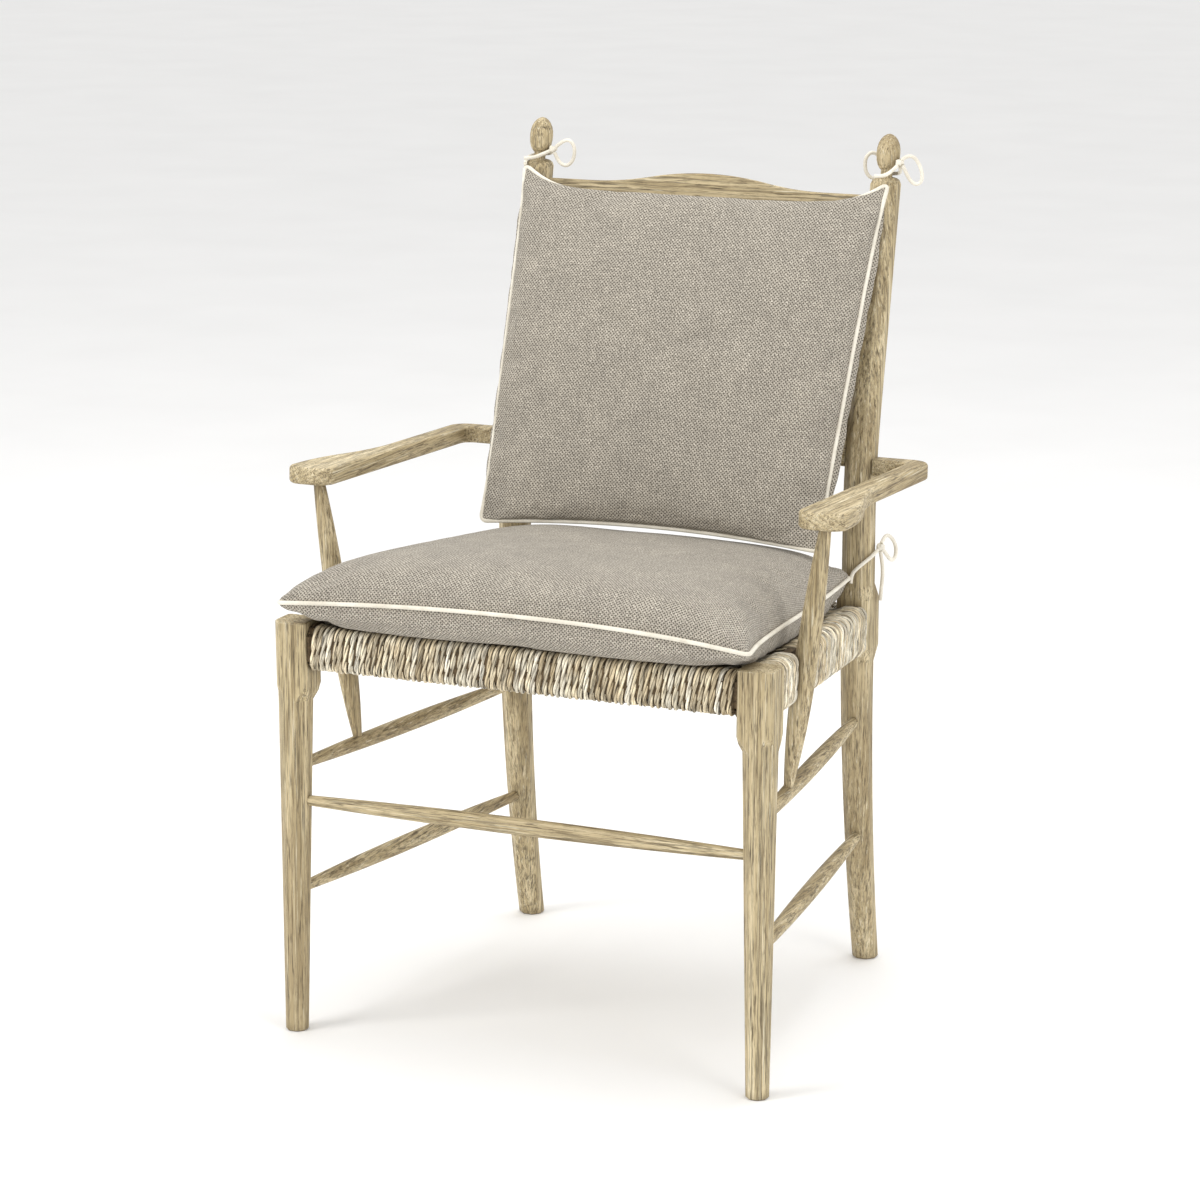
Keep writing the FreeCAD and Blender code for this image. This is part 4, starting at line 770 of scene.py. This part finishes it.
def upholster(name, shape, over, under):
    """A cushion's cover and its piping."""
    cover = shape.mesh(f"{name}_linen", over, under)
    inflate(cover)
    if "rest" in under:
        shape.settle(cover, under["rest"])
    smooth = cover.modifiers.new("finer", "SUBSURF")
    smooth.levels = smooth.render_levels = 1
    paint(cover, LINEN)
    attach(cover, BODY)
    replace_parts(cover, f"{name}_cover", f"{name}_filling")
    piping = spline_curve(f"{name}_trim", shape.seam(PIPING_AWAY), PIPING_RADIUS, closed=True)
    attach(piping, BODY)
    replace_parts(piping, f"{name}_piping")


def seat_lift(a, b):
    """The seat cushion's front edge rides up between its corners, and its rear corners curl up."""
    corner = np.abs(a * b) ** 4
    front = (1 - a**2) * ((1 - b) / 2) ** 2
    return 0.011 * front + corner * np.where(b > 0, 0.010, np.where(a > 0, -0.004, 0.0))


def back_lift(a, b):
    """The back cushion's upper corners are drawn back towards the posts."""
    return -0.004 * np.abs(a) ** 3 * ((1 + b) / 2) ** 3


# Heights in the seat cushion's own plane: of the rush, and of the front legs' tops, which
# begin this far out from the middle.
RUSH_REST = -0.0258
LEG_REST = -0.0240
LEG_INSIDE = 0.261


def seat_bed(y):
    """The seat cushion lies flat on the rush and hangs a little over its front edge."""
    return RUSH_REST - 0.002 * np.clip((0.031 - y) / 0.014, 0, 1)


def seat_rest(x, y):
    return LEG_REST if abs(x) > LEG_INSIDE else float(seat_bed(y))


# A cushion's half widths at its low and high ends, its length, how far its edges are pulled
# in (low, high, sides), its lift and its random seed. Then for each panel: its thickness, the
# power and roundness of its dome, and how far it swells past the seam (low, high, sides).
SEAT_TILT = math.radians(4.086)
seat_place = Matrix.Translation((0, -0.034 - FEET, 0.5121)) @ Matrix.Rotation(-SEAT_TILT, 4, "X")
seat_shape = Cushion(seat_place, 0.284, 0.222, 0.4805, (0.006, 0.004, 0.006), seat_lift, 5)
seat_over = {"thick": 0.0545, "power": 0.36, "round": 3.6, "swell": (0.004, 0.004, 0.004)}
seat_under = {"thick": 0.060, "power": 0.36, "round": 2.4, "swell": (0.008, 0.004, 0.007),
              "bed": seat_bed, "rest": seat_rest}
upholster("seat_cushion", seat_shape, seat_over, seat_under)

BACK_LEAN = math.radians(90 - 22)
back_place = Matrix.Translation((0, 0.357 - FEET, 0.5360)) @ Matrix.Rotation(BACK_LEAN, 4, "X")
back_shape = Cushion(back_place, 0.216, 0.233, 0.441, (0.012, 0.035, 0.005), back_lift, 8)
back_over = {"thick": 0.031, "power": 0.42, "round": 2.4, "swell": (0.007, 0.0125, 0.006)}
back_under = {"thick": 0.019, "power": 0.42, "round": 2.4, "swell": (0.008, 0.010, 0.017)}
upholster("back_cushion", back_shape, back_over, back_under)

# ---------------------------------------------------------------- rush seat

# A strand's radius, the length of one full twist, how many plies it has and how far apart the
# strands lie.
STRAND = 0.0034
TWIST = 0.062
PLIES = 3
PITCH = 0.0070
# A ply's radius as a share of its strand's, and the corners of its round section.
PLY_SHARE = 0.56
PLY_SIDES = 6
# Sideways run of a strand for each metre that it climbs, and the stretch of its fibres.
LEAN = 0.14
FIBRE_STRETCH = 0.07
# The rails' centre lines, and half the length of the front and the back one.
FRONT_Y, BACK_Y = 0.008 - FEET, 0.470 - FEET
FRONT_Z, BACK_Z = 0.455, 0.422
FRONT_X, BACK_X = 0.2812, 0.2235
MID_Y = (FRONT_Y + BACK_Y) / 2
# How far from where two rails meet the strands begin, and where an arm's support parts them.
LEG_ROOM = 0.0245
SUPPORT_Y = 0.1265 - FEET
SUPPORT_ROOM = 0.0165
# Half the width and height of the rush round a rail, and half its thickness further in.
END_ROLL = (0.0143, 0.0233, 0.0225)
SIDE_ROLL = (0.0143, 0.0263, 0.0225)
# The radius of that roll's outer corners, and the turns at which a corner has a point.
ROLL_ROUND = 0.0095
QUARTER = [math.radians(18 * k) for k in range(1, 6)]
# A strand reaches at least this far in from its rail.
SHORTEST = 0.03
TINTS = (
    (0.78, 0.69, 0.51),
    (0.86, 0.79, 0.62),
    (0.92, 0.87, 0.73),
    (0.93, 0.89, 0.77),
    (0.66, 0.56, 0.38),
    (0.82, 0.73, 0.54),
)
RUSH = rush_fibre()
PAINTED_SHADE_CORE = rush_core_painted_shade()


def seat_level(y):
    return FRONT_Z + (BACK_Z - FRONT_Z) * (y - FRONT_Y) / (BACK_Y - FRONT_Y)


def roll_path(reach, half_wide, half_tall, panel):
    """A strand's path over a rail, as distances in from the rail's centre and up from it.

    It comes up out of the mitre, runs out over the rail, round it, and back in underneath.
    """
    steps = max(1, int((reach - 0.02) / 0.0055))
    flat = [(reach - 0.026) * k / steps for k in range(steps + 1)] if reach > SHORTEST else []
    outer = ROLL_ROUND - half_wide
    shoulder = half_tall - ROLL_ROUND
    sides = 9
    path = [(reach, panel - 0.009), (reach - 0.004, panel - 0.002)]
    path += [(reach - 0.008 - run, panel) for run in flat]
    path += [(0.009, half_tall - 0.0006), (half_wide * 0.2, half_tall), (outer, half_tall)]
    path += [(outer - ROLL_ROUND * math.sin(turn), shoulder + ROLL_ROUND * math.cos(turn))
             for turn in QUARTER]
    path += [(-half_wide, shoulder * (1 - 2 * k / sides)) for k in range(1, sides + 1)]
    path += [(outer - ROLL_ROUND * math.cos(turn), -shoulder - ROLL_ROUND * math.sin(turn))
             for turn in QUARTER]
    path += [(half_wide * 0.2, -half_tall), (0.012, -half_tall + 0.001)]
    path += [(0.018 + run, -panel) for run in flat]
    path += [(max(reach - 0.004, 0.016), -panel + 0.002), (max(reach, 0.018), -panel + 0.009)]
    return np.array(path)


def strand_line(origin, inward, along, path, sway, wander):
    """A strand's centre line, which way is out at each point, and the length run so far."""
    line = origin + path[:, :1] * inward + path[:, 1:] * np.array((0, 0, 1.0)) + along * sway
    step = np.linalg.norm(np.diff(line, axis=0), axis=1)
    run = np.concatenate([[0], np.cumsum(step)])
    line = line + np.outer(0.0005 * np.sin(run / 0.017 + wander), along)
    line = line + np.outer(LEAN * path[:, 1], along)
    heading = np.gradient(line, axis=0)
    heading /= np.linalg.norm(heading, axis=1, keepdims=True)
    out = np.cross(heading, along)
    out /= np.linalg.norm(out, axis=1, keepdims=True)
    return line, out, run


def ply_rings(line, along, out, angle, radius):
    """The points round one ply, ring by ring, as it winds about its strand's centre line."""
    ring = np.arange(PLY_SIDES) * 2 * math.pi / PLY_SIDES
    size = PLY_SHARE * radius
    centre = line + 0.5 * radius * (np.cos(angle)[:, None] * along + np.sin(angle)[:, None] * out)
    circle = (np.cos(ring)[None, :, None] * along
              + np.sin(ring)[None, :, None] * out[:, None, :]) * size
    rings = (centre[:, None, :] + circle).reshape(-1, 3)
    return rings, np.cos(ring) * size, np.sin(ring) * size


def strands(name, specs, seed):
    """Twisted strands along their paths, as one mesh with a tint for each strand."""
    rng = np.random.default_rng(seed)
    points, faces, tints, fibres = [], [], [], []
    base = 0
    for number, (origin, inward, along, path) in enumerate(specs):
        radius = STRAND * rng.uniform(0.9, 1.12)
        sway, _ = rng.normal(0, 0.0003, 2)
        wander = rng.uniform(0, 2 * math.pi)
        inward, along = np.array(inward), np.array(along)
        line, out, run = strand_line(np.array(origin), inward, along, path, sway, wander)
        phase = 0.55 * number + rng.normal(0, 0.45)
        twist = rng.uniform(0.94, 1.07)
        tint = np.array(TINTS[rng.integers(len(TINTS))]) * rng.uniform(0.88, 1.1)
        count = len(line)
        for ply in range(PLIES):
            angle = 2 * math.pi * run / (TWIST * twist) + phase + 2 * math.pi * ply / PLIES
            rings, aside, outward = ply_rings(line, along, out, angle, radius)
            points.append(rings)
            k = np.arange(count - 1)[:, None] * PLY_SIDES + base
            this = np.arange(PLY_SIDES)
            after = (this + 1) % PLY_SIDES
            quads = [k + this, k + after, k + PLY_SIDES + after, k + PLY_SIDES + this]
            faces.append(np.stack(quads, -1).reshape(-1, 4))
            shade = tint * (1.0 if ply == 0 else rng.uniform(0.84, 1.04))
            tints.append(np.tile([*np.clip(shade, 0, 1), 1.0], (count * PLY_SIDES, 1)))
            lie = np.empty((count, PLY_SIDES, 3))
            lie[..., 0] = (run * FIBRE_STRETCH)[:, None] + rng.uniform(0, 5)
            lie[..., 1] = aside
            lie[..., 2] = outward
            fibres.append(lie.reshape(-1, 3))
            base += count * PLY_SIDES
    points, faces, tints, fibres = map(np.concatenate, (points, faces, tints, fibres))
    mesh = bpy.data.meshes.new(name)
    mesh.from_pydata(points.tolist(), [], faces.tolist())
    mesh.polygons.foreach_set("use_smooth", [True] * len(mesh.polygons))
    colours = mesh.color_attributes.new("tint", "FLOAT_COLOR", "POINT")
    colours.data.foreach_set("color", tints.ravel())
    places = mesh.attributes.new("fibre", "FLOAT_VECTOR", "POINT")
    places.data.foreach_set("vector", fibres.ravel())
    mesh.materials.append(RUSH)
    obj = link(bpy.data.objects.new(name, mesh))
    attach(obj, BODY)
    return obj


def end_specs(y, z, half, inward):
    """The strands round the front or the back rail."""
    span = half - LEG_ROOM
    count = int(2 * span / PITCH)
    specs = []
    for k in range(count):
        x = -span + (k + 0.5) * 2 * span / count
        reach = max(SHORTEST, (half - abs(x)) / half * abs(MID_Y - y))
        path = roll_path(reach, *END_ROLL)
        slope = np.zeros_like(path)
        slope[:, 1] = -inward * (FRONT_Z - BACK_Z) / (BACK_Y - FRONT_Y) * np.maximum(path[:, 0], 0)
        specs.append(((x, y, z), (0, inward, 0), (1, 0, 0), path + slope))
    return specs


def side_specs(side):
    """The strands round a side rail, leaving room for the arm's support."""
    run = BACK_Y - FRONT_Y
    lean = (FRONT_X - BACK_X) / run
    along = np.array((-side * lean, 1.0, (BACK_Z - FRONT_Z) / run))
    along /= np.linalg.norm(along)
    inward = np.array((-side * 1.0, -lean, 0.0))
    inward /= np.linalg.norm(inward)
    start, end = FRONT_Y + LEG_ROOM, BACK_Y - LEG_ROOM
    count = int((end - start) / PITCH)
    specs = []
    for k in range(count):
        y = start + (k + 0.5) * (end - start) / count
        if abs(y - SUPPORT_Y) < SUPPORT_ROOM:
            continue
        x = FRONT_X - lean * (y - FRONT_Y)
        if y < MID_Y:
            mitre = FRONT_X * (1 - (y - FRONT_Y) / (MID_Y - FRONT_Y))
        else:
            mitre = BACK_X * (1 - (BACK_Y - y) / (BACK_Y - MID_Y))
        path = roll_path(max(SHORTEST, x - mitre), *SIDE_ROLL)
        specs.append(((side * x, y, seat_level(y)), inward, along, path))
    return specs


FIRST_SEED = 20
rolls = {
    "rush_front": end_specs(FRONT_Y, FRONT_Z, FRONT_X, 1),
    "rush_back": end_specs(BACK_Y, BACK_Z, BACK_X, -1),
    "rush_left": side_specs(1),
    "rush_right": side_specs(-1),
}
for seed, (name, specs) in enumerate(rolls.items(), start=FIRST_SEED):
    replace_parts(strands(name, specs, seed), "rush_seat")


# How far the stuffing lies under the rush's own surface.
CORE_DEPTH = 0.0042


def make_core():
    """The stuffing and inner turns of the rush, just under the strands that show."""
    mesh = NODES["rush_seat"].data.copy()
    core = link(bpy.data.objects.new("rush_stuffing", mesh))
    normals = np.array([v.normal for v in mesh.vertices])
    places = np.array([v.co for v in mesh.vertices])
    mesh.vertices.foreach_set("co", (places - normals * CORE_DEPTH).ravel())
    mesh.update()
    # The stuffing's near-black colour is painted shade between the strands.
    paint(core, PAINTED_SHADE_CORE)
    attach(core, BODY)
    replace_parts(core, "rush_seat")


make_core()

# ---------------------------------------------------------------- floor

FLOOR_HALF = 30
sheet = bpy.data.meshes.new("floor")
corners = [(a * FLOOR_HALF, b * FLOOR_HALF, 0) for a, b in ((-1, -1), (1, -1), (1, 1), (-1, 1))]
sheet.from_pydata(corners, [], [(0, 1, 2, 3)])
floor = link(bpy.data.objects.new("floor", sheet))
ground = Graph("studio_floor")
grain = ground.noise(ground.coords(), 3, 3, 0.5)
sheet.materials.append(ground.finish(ground.ramp(grain, [(0.3, 0.93), (0.7, 0.96)]), 0.8))
